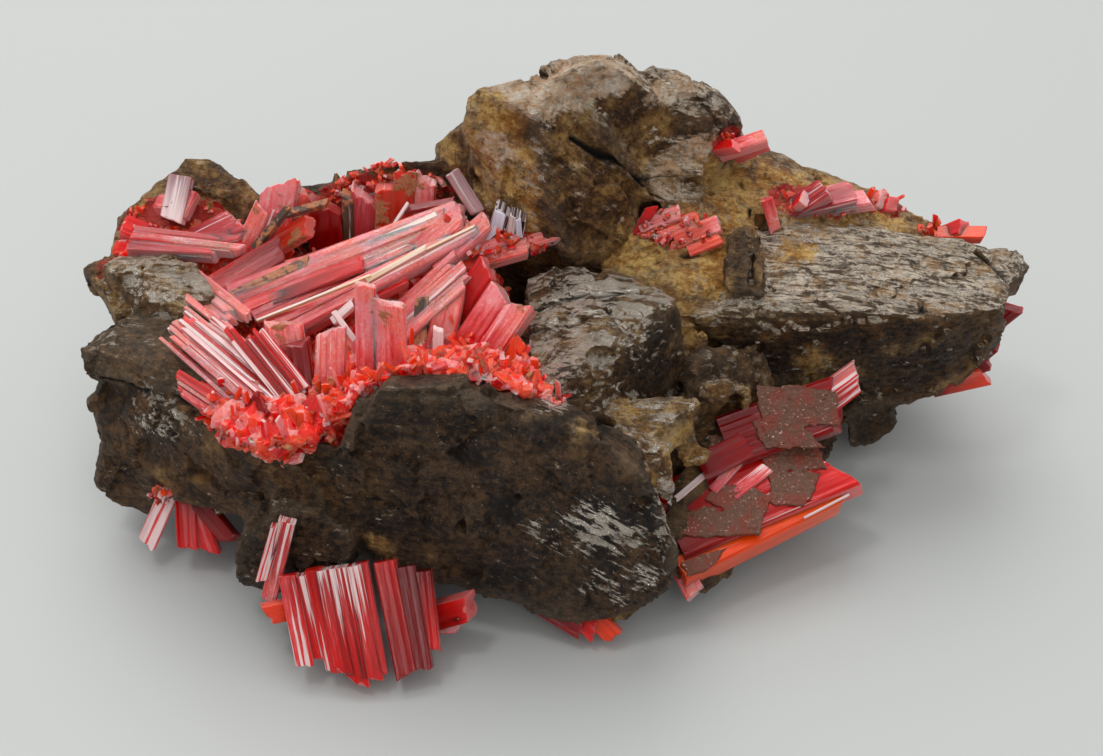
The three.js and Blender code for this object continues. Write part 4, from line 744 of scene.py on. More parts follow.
# cracks: the line they follow, and how wide and deep they are
CRACKS = [
    ([(-55, -3.5, 20.5), (-49, -5, 21), (-43, -7, 22), (-39.5, -9.5, 23)], 0.5, 1.6),
    # the slab
    ([(44.8, 14.1, 28), (44.2, 10, 27.6), (42.9, 5.9, 26.5), (42.8, 3, 25)], 0.4, 1.2),
    ([(45.7, 7.9, 27), (49.5, 7, 26.5), (52.9, 6.5, 26)], 0.35, 0.9),
    ([(26, 10.5, 28), (33, 10, 28.3), (41, 9.4, 28), (50, 10, 26.5)], 0.3, 0.7),
    ([(30, 7.5, 28), (38, 7.2, 28), (44, 7.4, 27.5)], 0.3, 0.7),
    ([(24, 5.5, 27), (32, 5.2, 27.5), (40, 4.8, 27.2), (50, 6, 25)], 0.3, 0.7),
    ([(50.5, 13.5, 26), (53.5, 11, 24.5), (54.5, 9.5, 21)], 0.4, 1.0),
    # the middle block
    ([(-3, 0.5, 28.4), (1, 0.4, 30.2), (6, 0.3, 30.6), (10, 0.8, 30.6)], 0.45, 0.9),
    ([(-2.5, -3.5, 28), (2, -3.8, 30), (6.5, -2.6, 31)], 0.35, 0.7),
    # between the tall block's pieces
    ([(9.5, 18.5, 37.5), (11.5, 17.6, 34.8), (12.5, 16, 32.6), (12, 13.5, 30)], 0.4, 0.9),
    (
        [(2.8, 15, 41.4), (5.6, 15.8, 38.3), (7.7, 15.9, 36.6), (11, 16.5, 34.1), (12.4, 15.8, 31.4)],
        0.4, 1.0,
    ),
    ([(11.3, 16.8, 34.3), (13.3, 17.5, 33.9), (17.8, 17.9, 33.1)], 0.35, 1.0),
    # the saddle
    ([(22.8, 21.6, 30.3), (23.6, 17.1, 30.1), (24.4, 13.5, 29.2), (24.6, 10, 28.2)], 0.4, 0.9),
    ([(12, 9.4, 27.6), (16.1, 10, 28.3), (20, 10.6, 28.4), (23.5, 9.4, 28)], 0.35, 0.8),
]

# ---------------------------------------------------------------- stage: in metres, but for the camera
CAMERA_LENS = 70
CAMERA_SENSOR = 36
CAMERA_TILT = math.radians(42)
CAMERA_AIM = np.array((0.0, 0.0, 18.0))
CAMERA_DISTANCE = 249.0
FLOOR_HALF = 1.5
FLOOR_COLOUR = (0.455, 0.468, 0.455, 1)
SKY_TOP = (-0.06, 0.34, 0.938)
SKY_COLOURS = (0.30, 0.305, 0.32), (1.0, 1.0, 1.0)
SKY_STRENGTH = 0.94
LAMP_AIM = (0, 0, 0.02)
# name, place, size and watts
LAMPS = [
    ("window", (-0.16, 0.62, 0.90), 0.85, 6.4),
    ("lamp", (-0.30, -0.10, 0.95), 0.15, 1.2),
    ("room", (0.25, -0.95, 0.75), 0.60, 2.6),
]


# ---------------------------------------------------------------- helpers: random numbers and vectors
def dice(seed):
    """A repeatable sequence of numbers from 0 to 1."""
    state = seed
    while True:
        state = state * ROLL_STEP % ROLL_LIMIT
        yield state / ROLL_LIMIT


def sway(roll):
    """The next number, from -0.5 to 0.5."""
    return next(roll) - 0.5


def pick(roll, items):
    """One of the items."""
    return items[int(next(roll) * len(items))]


def unit(v):
    return np.asarray(v, float) / np.linalg.norm(v)


def mix(a, b, t):
    return np.asarray(a, float) + (np.asarray(b, float) - np.asarray(a, float)) * t


def to_part(points):
    """Drawing millimetres to metres in the part's frame."""
    return (np.asarray(points, float) + ORIGIN) * MM


def crystal_axes(start, end, facing):
    """A crystal's own directions: along it, across its broad faces, and out of them."""
    axis = unit(end - start)
    across = unit(np.cross(facing, axis))
    return axis, across, np.cross(axis, across)


# ---------------------------------------------------------------- helpers: meshes
def new_object(name, mesh):
    obj = bpy.data.objects.new(name, mesh)
    bpy.context.scene.collection.objects.link(obj)
    return obj


def object_of(work, name):
    """An object of a finished bmesh."""
    mesh = bpy.data.meshes.new(name)
    work.to_mesh(mesh)
    work.free()
    return new_object(name, mesh)


def baked(obj, name):
    """The object with its modifiers applied, as a new plain object. The old one goes."""
    graph = bpy.context.evaluated_depsgraph_get()
    mesh = bpy.data.meshes.new_from_object(obj.evaluated_get(graph))
    bpy.data.objects.remove(obj)
    mesh.name = name
    return new_object(name, mesh)


def vectors(items, key):
    """One vector for each vertex or face of a mesh."""
    flat = np.empty(len(items) * 3)
    items.foreach_get(key, flat)
    return flat.reshape(-1, 3)


def set_values(mesh, name, values):
    attribute = mesh.attributes.get(name) or mesh.attributes.new(name, "FLOAT", "POINT")
    attribute.data.foreach_set("value", np.asarray(values, dtype=np.float32))


def remeshed(obj, voxel, name):
    step = obj.modifiers.new("remesh", "REMESH")
    step.mode = "VOXEL"
    step.voxel_size = voxel * MM
    return baked(obj, name)


def thinned(obj, kept, name):
    """Fewer faces where the surface is flat, as many as before at its edges."""
    step = obj.modifiers.new("thin", "DECIMATE")
    step.ratio = kept
    return baked(obj, name)


# ---------------------------------------------------------------- helpers: node trees
class Wire:
    """The output of a node. Reckoning with it adds the nodes that do the reckoning."""

    def __init__(self, socket):
        self.socket = socket
        self.tree = socket.id_data

    def __add__(self, other):
        return calc("ADD", self, other)

    def __radd__(self, other):
        return calc("ADD", other, self)

    def __sub__(self, other):
        return calc("SUBTRACT", self, other)

    def __rsub__(self, other):
        return calc("SUBTRACT", other, self)

    def __mul__(self, other):
        return calc("MULTIPLY", self, other)

    def __truediv__(self, other):
        return calc("DIVIDE", self, other)

    def __rtruediv__(self, other):
        return calc("DIVIDE", other, self)


def set_inputs(node, values):
    """Give the node's inputs numbers or colours of their own, or wires."""
    for key, value in values.items():
        if isinstance(value, Wire):
            value.tree.links.new(value.socket, node.inputs[key])
        else:
            node.inputs[key].default_value = value


def add(tree, kind, values=None, **settings):
    """A node with its settings and its inputs."""
    node = tree.nodes.new(kind)
    for key, value in settings.items():
        setattr(node, key, value)
    set_inputs(node, values or {})
    return node


def wire(tree, kind, values=None, output=0, **settings):
    """One output of a new node."""
    return Wire(add(tree, kind, values, **settings).outputs[output])


def tree_of(*terms):
    return next(term.tree for term in terms if isinstance(term, Wire))


def calc(operation, *terms, clamp=False):
    values = dict(enumerate(terms))
    return wire(tree_of(*terms), "ShaderNodeMath", values, operation=operation, use_clamp=clamp)


def larger(a, b):
    return calc("MAXIMUM", a, b)


def vector_calc(operation, *terms, scale=None):
    values = dict(enumerate(terms))
    if scale is not None:
        values["Scale"] = scale
    output = "Value" if operation == "DOT_PRODUCT" else "Vector"
    return wire(tree_of(*terms), "ShaderNodeVectorMath", values, output, operation=operation)


def height_of(vector):
    return wire(vector.tree, "ShaderNodeSeparateXYZ", {0: vector}, "Z")


def weighted(share, a, b):
    """The number a, or b to the given share."""
    return wire(tree_of(share, a, b), "ShaderNodeMix", {0: share, 2: a, 3: b}, data_type="FLOAT")


def blend(amount, a, b):
    """The colour a, or b to the given amount."""
    a, b = (colour if isinstance(colour, Wire) else (*colour, 1.0) for colour in (a, b))
    return wire(amount.tree, "ShaderNodeMix", {0: amount, 6: a, 7: b}, 2, data_type="RGBA")


def step_up(value, low, high):
    """0 below low, 1 above high, smooth between."""
    values = {"Value": value, "From Min": low, "From Max": high}
    return wire(value.tree, "ShaderNodeMapRange", values, "Result", interpolation_type="SMOOTHSTEP")


def centred(value, wave, amount):
    """The value with a noise of mean one half added, so that its own mean stays."""
    return value + (wave - 0.5) * amount


def reading(tree, name, kind="Fac"):
    """A number or a colour that the mesh carries."""
    return wire(tree, "ShaderNodeAttribute", output=kind, attribute_name=name)


def noise(place, size, detail=2.0, rough=0.5, distort=0.0):
    """Noise whose waves have a size in millimetres."""
    values = {
        "Vector": place, "Scale": 1 / (size * MM), "Detail": detail, "Roughness": rough,
        "Distortion": distort,
    }
    return wire(place.tree, "ShaderNodeTexNoise", values)


def grain_numbers(place, size):
    """Two numbers that each grain of a size has of its own."""
    values = {"Vector": place, "Scale": 1 / (size * MM)}
    grains = wire(place.tree, "ShaderNodeTexVoronoi", values, "Color")
    parts = add(place.tree, "ShaderNodeSeparateColor", {0: grains}).outputs
    return Wire(parts[0]), Wire(parts[1])


def streak_in_rock(place, size):
    """Noise drawn out along the bedding, or down to the right where the rock is slanted."""
    both = []
    for turn in (BEDDING_TURN, SLANT_TURN):
        values = {"Vector": place, "Rotation": turn, "Scale": (STREAK_LENGTH, 1.0, 1.0)}
        drawn_out = wire(place.tree, "ShaderNodeMapping", values, vector_type="TEXTURE")
        both.append(noise(drawn_out, size, 6, 0.75, 0.5))
    return weighted(reading(place.tree, "slant"), *both)


def streak_in_crystal(along, fineness, stretch):
    """Noise drawn out along a crystal. `along` is in millimetres: across it, then along it."""
    place = wire(along.tree, "ShaderNodeMapping", {"Vector": along, "Scale": (fineness, stretch, 1.0)})
    values = {"Vector": place, "Scale": 1.0, "Detail": 4.0, "Roughness": 0.7}
    return wire(along.tree, "ShaderNodeTexNoise", values)


def new_material(name):
    """A material with a shader joined to its output."""
    material = bpy.data.materials.new(name)
    material.use_nodes = True
    tree = material.node_tree
    tree.nodes.clear()
    shader = add(tree, "ShaderNodeBsdfPrincipled")
    output = add(tree, "ShaderNodeOutputMaterial", {"Surface": Wire(shader.outputs[0])})
    return material, tree, shader, output


def set_bump(shader, heights, depth, strength):
    values = {"Height": heights, "Distance": depth * MM, "Strength": strength}
    set_inputs(shader, {"Normal": wire(heights.tree, "ShaderNodeBump", values)})


def make_clear(shader, output, amount, density, glow=1.0):
    """Coloured glass that light also spreads in, as far as the glow says."""
    set_inputs(shader, {
        "Transmission Weight": amount, "IOR": CROCOITE_IOR, "Specular IOR Level": 0.05,
        "Subsurface Weight": 1.0, "Subsurface Radius": (1.0, 0.10, 0.07), "Subsurface Scale": glow * MM,
    })
    values = {"Color": (1.0, 0.06, 0.02, 1.0), "Density": density}
    set_inputs(output, {"Volume": wire(shader.id_data, "ShaderNodeVolumeAbsorption", values)})


# ---------------------------------------------------------------- finishes
def rock_finish():
    """Dark oxide rock, with ochre stain, pale weathering on its tops, silvery streaks, and painted
    shade in its pits and cracks.
    """
    material, tree, shader, _ = new_material("oxide_rock")
    place = wire(tree, "ShaderNodeTexCoord", output="Object")
    upward = height_of(wire(tree, "ShaderNodeNewGeometry", output="Normal"))
    coarse = noise(place, 4.5, 4, 0.6)
    cloud = noise(place, 1.8, 4, 0.65)
    fine = noise(place, 0.8, 6, 0.75)
    grain = noise(place, 0.25, 3, 0.7)
    streak = streak_in_rock(place, 0.55)
    flow = streak_in_rock(place, 1.5)
    mottle = step_up(weighted(0.25, weighted(0.40, fine, coarse), streak), 0.43, 0.60)
    patches = step_up(noise(place, 2.6, 4, 0.65), 0.50, 0.62)
    mottled = {name: blend(mottle, *pair) for name, pair in MOTTLED.items()}

    colour = blend(reading(tree, "dark"), mottled["brown"], mottled["dark"])
    ochre_stain = blend(patches * 0.8, mottled["ochre"], mottled["stale"])
    much = centred(reading(tree, "ochre"), coarse, 1.3)
    colour = blend(step_up(much, 0.20, 0.75), colour, ochre_stain)

    weathered = blend(step_up(weighted(0.3, streak, fine), 0.44, 0.56), *WEATHERED)
    weathered = blend(patches * 0.5, weathered, RUSTY)
    tops = step_up(upward, 0.25, 0.80) * reading(tree, "pale") - step_up(much, 0.5, 1.1) * 0.6
    colour = blend(step_up(centred(tops, cloud, 1.4), 0.25, 0.85), colour, weathered)
    bleached = centred(centred(reading(tree, "bleached"), cloud, 1.2), streak, 1.0)
    chalk = blend(patches * 0.55, mottled["chalk"], RUSTY_CHALK)
    colour = blend(step_up(bleached, 0.20, 0.50), colour, chalk)
    # painted shade: small pits are darkened toward near black as well as sunk by the bump
    shaded_pits = step_up(noise(place, 1.1, 4, 0.7), 0.56, 0.66)
    colour = blend(shaded_pits * 0.5, colour, PIT_SHADE_COLOUR)

    wanted = larger(reading(tree, "silver") * step_up(upward, 0.30, 0.65), reading(tree, "flash"))
    wanted = centred(wanted * centred(0.24, flow, 1.6), cloud, 0.4)
    glitter = step_up(noise(place, 0.45, 3, 0.7), 0.66, 0.72)
    shining = larger(step_up(wanted + streak, 0.67, 0.72), glitter * 0.45)
    colour = blend(shining, colour, blend(grain, *METAL))

    colour = blend(reading(tree, "edge") * (fine * 0.5), colour, WORN_COLOUR)
    redness, spread = grain_numbers(place, 1.1)
    crusted = step_up(reading(tree, "crust") * (cloud * 1.6 + spread * 0.4), 0.55, 0.70)
    colour = blend(crusted, colour, blend(redness, *CRUST))
    # painted shade: the cracks, already sunk into the rock, are coloured near black
    colour = blend(step_up(reading(tree, "crack"), 0.2, 0.8), colour, CRACK_SHADE_COLOUR)

    set_inputs(shader, {
        "Base Color": vector_calc("MULTIPLY", colour, ROCK_TINT),
        "Roughness": 0.52 - shining * 0.30 - crusted * 0.25,
        "Metallic": calc("SUBTRACT", shining, crusted, clamp=True) * 0.75,
        "Specular IOR Level": 0.4,
    })
    set_bump(shader, fine * 1.8 + grain * 0.5 + streak * 1.4 - shaded_pits * 0.4, 0.65, 1.0)
    return material


def crystal_finish(name, clear, density):
    """Glassy crocoite: each crystal's own colour, streaks along it, frosted tops that are partly
    painted sheen, painted highlights on its edges, lines and specks, and brown coats.
    """
    material, tree, shader, output = new_material(name)
    place = wire(tree, "ShaderNodeTexCoord", output="Object")
    normal = wire(tree, "ShaderNodeNewGeometry", output="Normal")
    along = wire(tree, "ShaderNodeUVMap", uv_map="grain")
    streaks = streak_in_crystal(along, 2.2, 0.10)
    lines = streak_in_crystal(along, 1.5, 0.03)
    window = streak_in_crystal(along, 0.9, 0.22)
    cloud = noise(place, 3.2, 5, 0.65)
    haze = noise(place, 5.0)
    speck = noise(place, 0.35, 3, 0.6)
    own = reading(tree, "hue", "Color")
    # darker and lighter along its streaks: partly the crystal's own striping, partly painted shade in
    # its grooves
    colour = vector_calc("SCALE", own, scale=0.45 + streaks * 1.1)

    # painted sheen: only faces turned up toward the light (lit) get the frosted pink, so it is partly
    # the crystal's own etched frost and partly painted sheen
    lit = vector_calc("DOT_PRODUCT", normal, (0.0, -0.45, 0.90))
    frost_and_sheen = reading(tree, "frost") * step_up(lit, 0.10, 0.70)
    frost_and_sheen = step_up(frost_and_sheen * (window * 2.4 + streaks * 1.2), 0.85, 1.70)
    frost_sheen_tint = blend(step_up(haze, 0.42, 0.60), *FROST_SHEEN_TINTS)
    colour = blend(frost_and_sheen, colour, blend((speck - 0.15) + (streaks - 0.5), frost_sheen_tint, FROST_SHEEN_COLOUR))

    # painted highlight: the long edges and end of each crystal are lightened, standing in for light
    # caught on them
    rim = step_up(centred(reading(tree, "rim"), streaks, 0.8), 0.55, 1.0)
    rim = rim * (0.12 + reading(tree, "frost"))
    colour = blend(rim * 0.55, colour, RIM_HIGHLIGHT_COLOUR)

    # painted highlights: white lines along the crystals and white specks on their frosted faces stand
    # in for glints of light
    painted_sparkle = step_up(speck, 0.63, 0.70) * frost_and_sheen
    painted_glints = larger(step_up(reading(tree, "glint") * 0.30 + lines, 0.66, 0.73), painted_sparkle * 0.8)
    colour = blend(painted_glints * 0.85, colour, PAINTED_HIGHLIGHT_COLOUR)

    covered = step_up(centred(reading(tree, "coat"), cloud, 1.8), 0.50, 0.62)
    colour = blend(covered, colour, blend(speck, *COATING))

    make_clear(shader, output, clear, density)
    parts = add(tree, "ShaderNodeSeparateColor", {0: own}).outputs
    pale = Wire(parts[1]) * 2.0
    black = 1.0 - Wire(parts[0]) * 4.0
    opaque = larger(larger(painted_glints, covered), larger(pale, black))
    set_inputs(shader, {
        "Base Color": colour,
        "Roughness": 0.05 + frost_and_sheen * 0.20 + covered * 0.28 + speck * 0.08,
        "Subsurface Weight": calc("SUBTRACT", 1.0, opaque, clamp=True),
    })
    set_bump(shader, streaks + speck * (frost_and_sheen * 0.6) + speck * (covered * 2.0), 0.12, 0.7)
    return material


def druse_finish():
    """The mass of small crystals: every grain its own red, orange or pink."""
    material, tree, shader, output = new_material("crocoite_druse")
    place = wire(tree, "ShaderNodeTexCoord", output="Object")
    cloud = noise(place, 3.0, 4, 0.65)
    speck = noise(place, 0.4, 3, 0.6)
    warmth, paleness = grain_numbers(place, 1.3)
    colour = blend(step_up(warmth, 0.35, 0.75), *DRUSE)
    colour = blend(step_up(paleness, 0.55, 0.85), colour, DRUSE_PINK)
    colour = blend(step_up(cloud, 0.62, 0.76), colour, blend(speck, *DRUSE_DUST))
    set_inputs(shader, {"Base Color": colour, "Roughness": 0.10 + speck * 0.35})
    make_clear(shader, output, 0.06, 100.0, glow=2.5)
    set_bump(shader, speck, 0.12, 0.6)
    return material


def coat_finish():
    """The brown crust on the large crystals, with pale and red specks; the pale specks are painted
    glints.
    """
    material, tree, shader, _ = new_material("brown_coat")
    place = wire(tree, "ShaderNodeTexCoord", output="Object")
    cloud = noise(place, 2.5, 4, 0.65)
    speck = noise(place, 0.35, 4, 0.7)
    colour = blend(step_up(cloud, 0.45, 0.60), blend(speck, *COAT_BROWN), COAT_RED)
    # painted highlight: pale specks standing in for glints on the crust
    colour = blend(step_up(speck, 0.62, 0.68), colour, COAT_GLINT_SPECK)
    set_inputs(shader, {"Base Color": colour, "Roughness": 0.32, "Specular IOR Level": 0.2})
    set_bump(shader, speck, 0.15, 0.8)
    return material


# ---------------------------------------------------------------- crystals
def looks_of(colours):
    """What a crystal looks like at its start and at its end."""
    names = (colours, colours) if isinstance(colours, str) else colours
    return [np.array((*CROCOITE[name][0], *CROCOITE[name][1:])) for name in names]


def toned(looks, tone):
    """The looks, lighter or darker."""
    return [look * (tone, tone, tone, 1, 1, 1) for look in looks]


class Batch:
    """Crystals gathered into one mesh."""

    def __init__(self):
        self.points, self.faces, self.uv, self.looks, self.rims = [], [], [], [], []

    def prism(self, start, end, width, thickness, facing, looks, roll, point=TAPER):
        """A grooved four-sided prism about its middle line, with a slanted, worn end."""
        start, end = np.asarray(start, float), np.asarray(end, float)
        length = np.linalg.norm(end - start)
        outline = self.outline(width, thickness, roll)
        lean = END_SLANT * (0.3 + 1.4 * next(roll)) * (1 if next(roll) > 0.35 else -1)
        slant = np.array((lean, 0.9 * sway(roll)))
        taper = 1 - point * next(roll) ** 2
        broken = [-RAGGED * min(width, 3) * next(roll) ** 2 for _ in range(END_STEPS)]
        shape = outline * (taper, 1 - 0.5 * (1 - taper))
        worn = min(WORN_EDGE, 0.12 * min(width, thickness))
        inner = shape * (1 - 2 * worn / min(width, thickness))
        column = ((outline[:, 0] / width + 0.5) * min(END_STEPS - 1, width / END_STEP)).astype(int)
        missing = np.array(broken)[column]
        rings = [
            (outline, np.zeros(len(outline))),
            (shape, length - worn + shape @ slant + missing),
            (inner, length + inner @ slant + missing),
        ]
        self.add_corners(rings, start, crystal_axes(start, end, facing), length, looks)
        self.add_faces(outline, inner, length, worn, 50 * next(roll))

    def add_corners(self, rings, start, axes, length, looks):
        """The corners of a prism's rings, with their looks, darker and less frosted toward its foot as
        painted shade. Its long edges and its end are its rim, which gets a painted highlight.
        """
        axis, across, face = axes
        distance = np.abs(rings[0][0][:, 0])
        long_edge = distance > distance.max() * 0.999
        for number, (shape, heights) in enumerate(rings):
            self.rims += [*np.where(long_edge | (number == 2), 1.0, 0.0)]
            for (x, y), height in zip(shape, heights):
                self.points.append(start + across * x + face * y + axis * height)
                here = min(max(height / length, 0), 1)
                self.looks.append(mix(looks[0], looks[1], here) * mix(FOOT_SHADE, np.ones(6), here))

    def add_faces(self, outline, inner, length, worn, offset):
        """The faces of the last three rings, with their place in the grain from the offset on."""
        count = len(outline)
        first = len(self.points) - 3 * count
        sides = np.linalg.norm(np.roll(outline, -1, 0) - outline, axis=1)
        girth = np.concatenate(([0], np.cumsum(sides)))
        for ring in range(2):
            low, high = first + ring * count, first + (ring + 1) * count
            bottom, top = ring * (length - worn), length - worn + ring * worn
            for i in range(count):
                j = (i + 1) % count
                self.faces.append((low + i, low + j, high + j, high + i))
                a, b = offset + girth[i], offset + girth[i + 1]
                self.uv += [(a, bottom), (b, bottom), (b, top), (a, top)]
        cap = first + 2 * count
        self.faces.append(tuple(range(cap, cap + count)))
        self.uv += [(offset + x, length + y) for x, y in inner]
        self.faces.append(tuple(range(first + count - 1, first - 1, -1)))
        self.uv += [(offset + x, y) for x, y in outline[::-1]]

    def outline(self, width, thickness, roll):
        """A rectangle with cut corners and shallow steps on its broad sides, anticlockwise."""
        corner = CUT_CORNER * min(width, thickness)
        steps = max(2, round(width / GROOVE_PITCH))
        depth = min(GROOVE_DEPTH, 0.1 * thickness)
        sides = []
        for sign in (-1, 1):
            xs = np.linspace(-width / 2 + corner, width / 2 - corner, steps + 1)
            xs[1:-1] += [sway(roll) * 0.7 * width / steps for _ in xs[1:-1]]
            level, side = 0.0, []
            for x in xs:
                if next(roll) > 0.4:
                    level = depth * next(roll)
                side.append((x, sign * (thickness / 2 - level)))
            sides.append(side if sign < 0 else side[::-1])
        bottom, top = sides
        right = [(width / 2, -thickness / 2 + corner * 1.5), (width / 2, thickness / 2 - corner * 1.5)]
        left = [(-x, -y) for x, y in right]
        return np.array(bottom + right + top + left)

    def crystal(self, row, roll, loose=LOOSE):
        """One crystal of a table: blades grown side by side, the more loosely the more they differ."""
        start, end, width, thickness, facing, colours = row
        start, end = np.asarray(start, float), np.asarray(end, float)
        looks = looks_of(colours)
        blades = max(1, round(width / BLADE_WIDTH)) if loose else 1
        _, across, face = crystal_axes(start, end, facing)
        longest = int(next(roll) * blades)
        edges = np.linspace(-0.5, 0.5, blades + 1)
        edges[1:-1] += [sway(roll) * 0.8 / blades for _ in edges[1:-1]]
        for i, (low, high) in enumerate(zip(edges[:-1], edges[1:])):
            shift = (low + high) / 2 * width * across
            shift = shift + face * thickness * 0.3 * loose * sway(roll)
            lean = (sway(roll) * across + sway(roll) * face) * loose
            reach = 1.0 if i == longest else 1 - (0.06 + 0.3 * loose) * next(roll)
            tone = 1 + (0.1 + 0.5 * loose) * sway(roll)
            tip = start + (end - start) * reach + shift + lean
            thick = thickness * (1 - (0.04 + 0.3 * loose) * next(roll))
            wide = (high - low) * width * BLADE_OVERLAP
            self.prism(start + shift, tip, wide, thick, facing, toned(looks, tone), roll)

    def fan(self, row, roll):
        """Crystals side by side between a fan's two edges, close enough to touch."""
        start_a, start_b, end_a, end_b, width, thickness, count, colours = row
        for i in range(count):
            t = (i + 0.5 * sway(roll) + 0.5) / count
            start = mix(start_a, start_b, t)
            end = mix(start, mix(end_a, end_b, t + 0.08 * sway(roll)), 0.74 + 0.28 * next(roll))
            rise = 0.8 * sway(roll)
            start[2] += rise
            end[2] += rise + 0.5 * sway(roll)
            size = 0.6 + 0.8 * next(roll)
            facing = (0.5 * sway(roll), -0.3 + 0.4 * sway(roll), 1)
            looks = looks_of(pick(roll, colours))
            looks = toned(looks, 0.8 + 0.4 * next(roll))
            thick = thickness * (0.7 + 0.3 * size)
            self.prism(start, end, width * size, thick, facing, looks, roll, NEEDLE_TAPER)

    def sprigs(self, centres, normals, count, size, roll):
        """Small crystals standing at all slants on a surface."""
        for _ in range(count):
            here = int(next(roll) * len(centres))
            way = unit(normals[here] + SPRIG_LEAN * np.array([sway(roll), sway(roll), sway(roll)]))
            length = (0.9 + 2.2 * next(roll) ** 2) * size
            start = centres[here] - way * SPRIG_ROOT
            end = start + way * (length + SPRIG_ROOT)
            width = 0.45 + 0.75 * next(roll) ** 1.5 * size
            facing = unit((sway(roll), -0.4, 0.7 + next(roll)))
            looks = looks_of(pick(roll, DRUSE_COLOURS))
            thickness = width * (0.5 + 0.4 * next(roll))
            self.prism(start, end, width, thickness, facing, looks, roll, NEEDLE_TAPER)

    def to_object(self, name, material):
        mesh = bpy.data.meshes.new(name)
        mesh.from_pydata(to_part(self.points).tolist(), [], self.faces)
        mesh.uv_layers.new(name="grain").uv.foreach_set("vector", np.array(self.uv, float).ravel())
        hue = mesh.attributes.new("hue", "FLOAT_COLOR", "POINT")
        looks = np.clip(np.array(self.looks), 0, 1)
        colours = np.hstack((looks[:, :3], np.ones((len(looks), 1))))
        hue.data.foreach_set("color", colours.astype(np.float32).ravel())
        for column, key in ((3, "glint"), (4, "frost"), (5, "coat")):
            set_values(mesh, key, looks[:, column])
        set_values(mesh, "rim", self.rims)
        mesh.materials.append(material)
        mesh.update()
        return new_object(name, mesh)


# ---------------------------------------------------------------- shapes of the rock
def hull_of(work, corners):
    """Make the hull of the corners in a bmesh."""
    verts = [work.verts.new(Vector(p)) for p in corners]
    return bmesh.ops.convex_hull(work, input=verts)


def hull_object(name, hulls):
    """The hulls of lists of corners, as one mesh."""
    work = bmesh.new()
    for corners in hulls:
        made = hull_of(work, to_part(corners))
        spare = made["geom_interior"] + made["geom_unused"]
        spare = {item for item in spare if isinstance(item, bmesh.types.BMVert)}
        bmesh.ops.delete(work, geom=list(spare), context="VERTS")
    return object_of(work, name)


def hull_planes(corners):
    """Outward normals and reaches of a hull's faces, in drawing millimetres."""
    work = bmesh.new()
    hull_of(work, corners)
    middle = np.mean(corners, axis=0)
    normals, reaches = [], []
    for face in work.faces:
        normal = np.array(face.normal)
        reach = normal @ np.array(face.verts[0].co)
        sign = 1 if reach > normal @ middle else -1
        normals.append(sign * normal)
        reaches.append(sign * reach)
    work.free()
    return np.array(normals), np.array(reaches)


def upward_faces(obj, middle, radii):
    """Centres and normals of the faces that look up inside an ellipsoid, in drawing millimetres."""
    centres = vectors(obj.data.polygons, "center") / MM - ORIGIN
    normals = vectors(obj.data.polygons, "normal")
    inside = np.linalg.norm((centres - middle) / radii, axis=1) < 1
    chosen = inside & (normals[:, 2] > UPWARD)
    for corners in BLOCKS.values():
        planes, reaches = hull_planes(corners)
        chosen &= (centres @ planes.T - reaches).max(axis=1) > -SUNK
    return centres[chosen], normals[chosen]


def ellipsoid_weight(points, patches):
    """How strongly each point lies in the patches: 1 inside, fading out over their edges."""
    weight = np.zeros(len(points))
    for middle, radii, strength in patches:
        distance = np.linalg.norm((points - middle) / radii, axis=1)
        weight = np.maximum(weight, strength * np.clip(1.6 - distance * 0.9, 0, 1))
    return np.clip(weight, 0, 1)


def line_distance(points, line):
    """Distance of each point from a polyline."""
    nearest = np.full(len(points), FAR)
    line = np.asarray(line, float)
    for a, b in zip(line[:-1], line[1:]):
        t = np.clip((points - a) @ (b - a) / ((b - a) @ (b - a)), 0, 1)
        nearest = np.minimum(nearest, np.linalg.norm(points - a - t[:, None] * (b - a), axis=1))
    return nearest


def survey(points):
    """For each point of the rock's skin, its block's traits and how near it is to the block's edges."""
    nearest = np.full(len(points), FAR)
    traits = np.zeros((len(points), len(TRAITS)))
    edge = np.zeros(len(points))
    for name, corners in BLOCKS.items():
        normals, reaches = hull_planes(corners)
        depths = points @ normals.T - reaches
        first = depths.argmax(axis=1)
        outside = depths[np.arange(len(points)), first]
        mine = np.abs(outside) < nearest
        nearest[mine] = np.abs(outside[mine])
        other = depths[mine]
        other[(normals @ normals.T)[first[mine]] > EDGE_TURN] = -FAR
        gap = outside[mine] - other.max(axis=1)
        edge[mine] = np.exp(-((gap / EDGE_REACH) ** 2))
        traits[mine] = CHARACTER.get(name, PLAIN_ROCK)
    return traits, edge


def named(tree, name):
    return wire(tree, "GeometryNodeInputNamedAttribute", {"Name": name}, "Attribute", data_type="FLOAT")


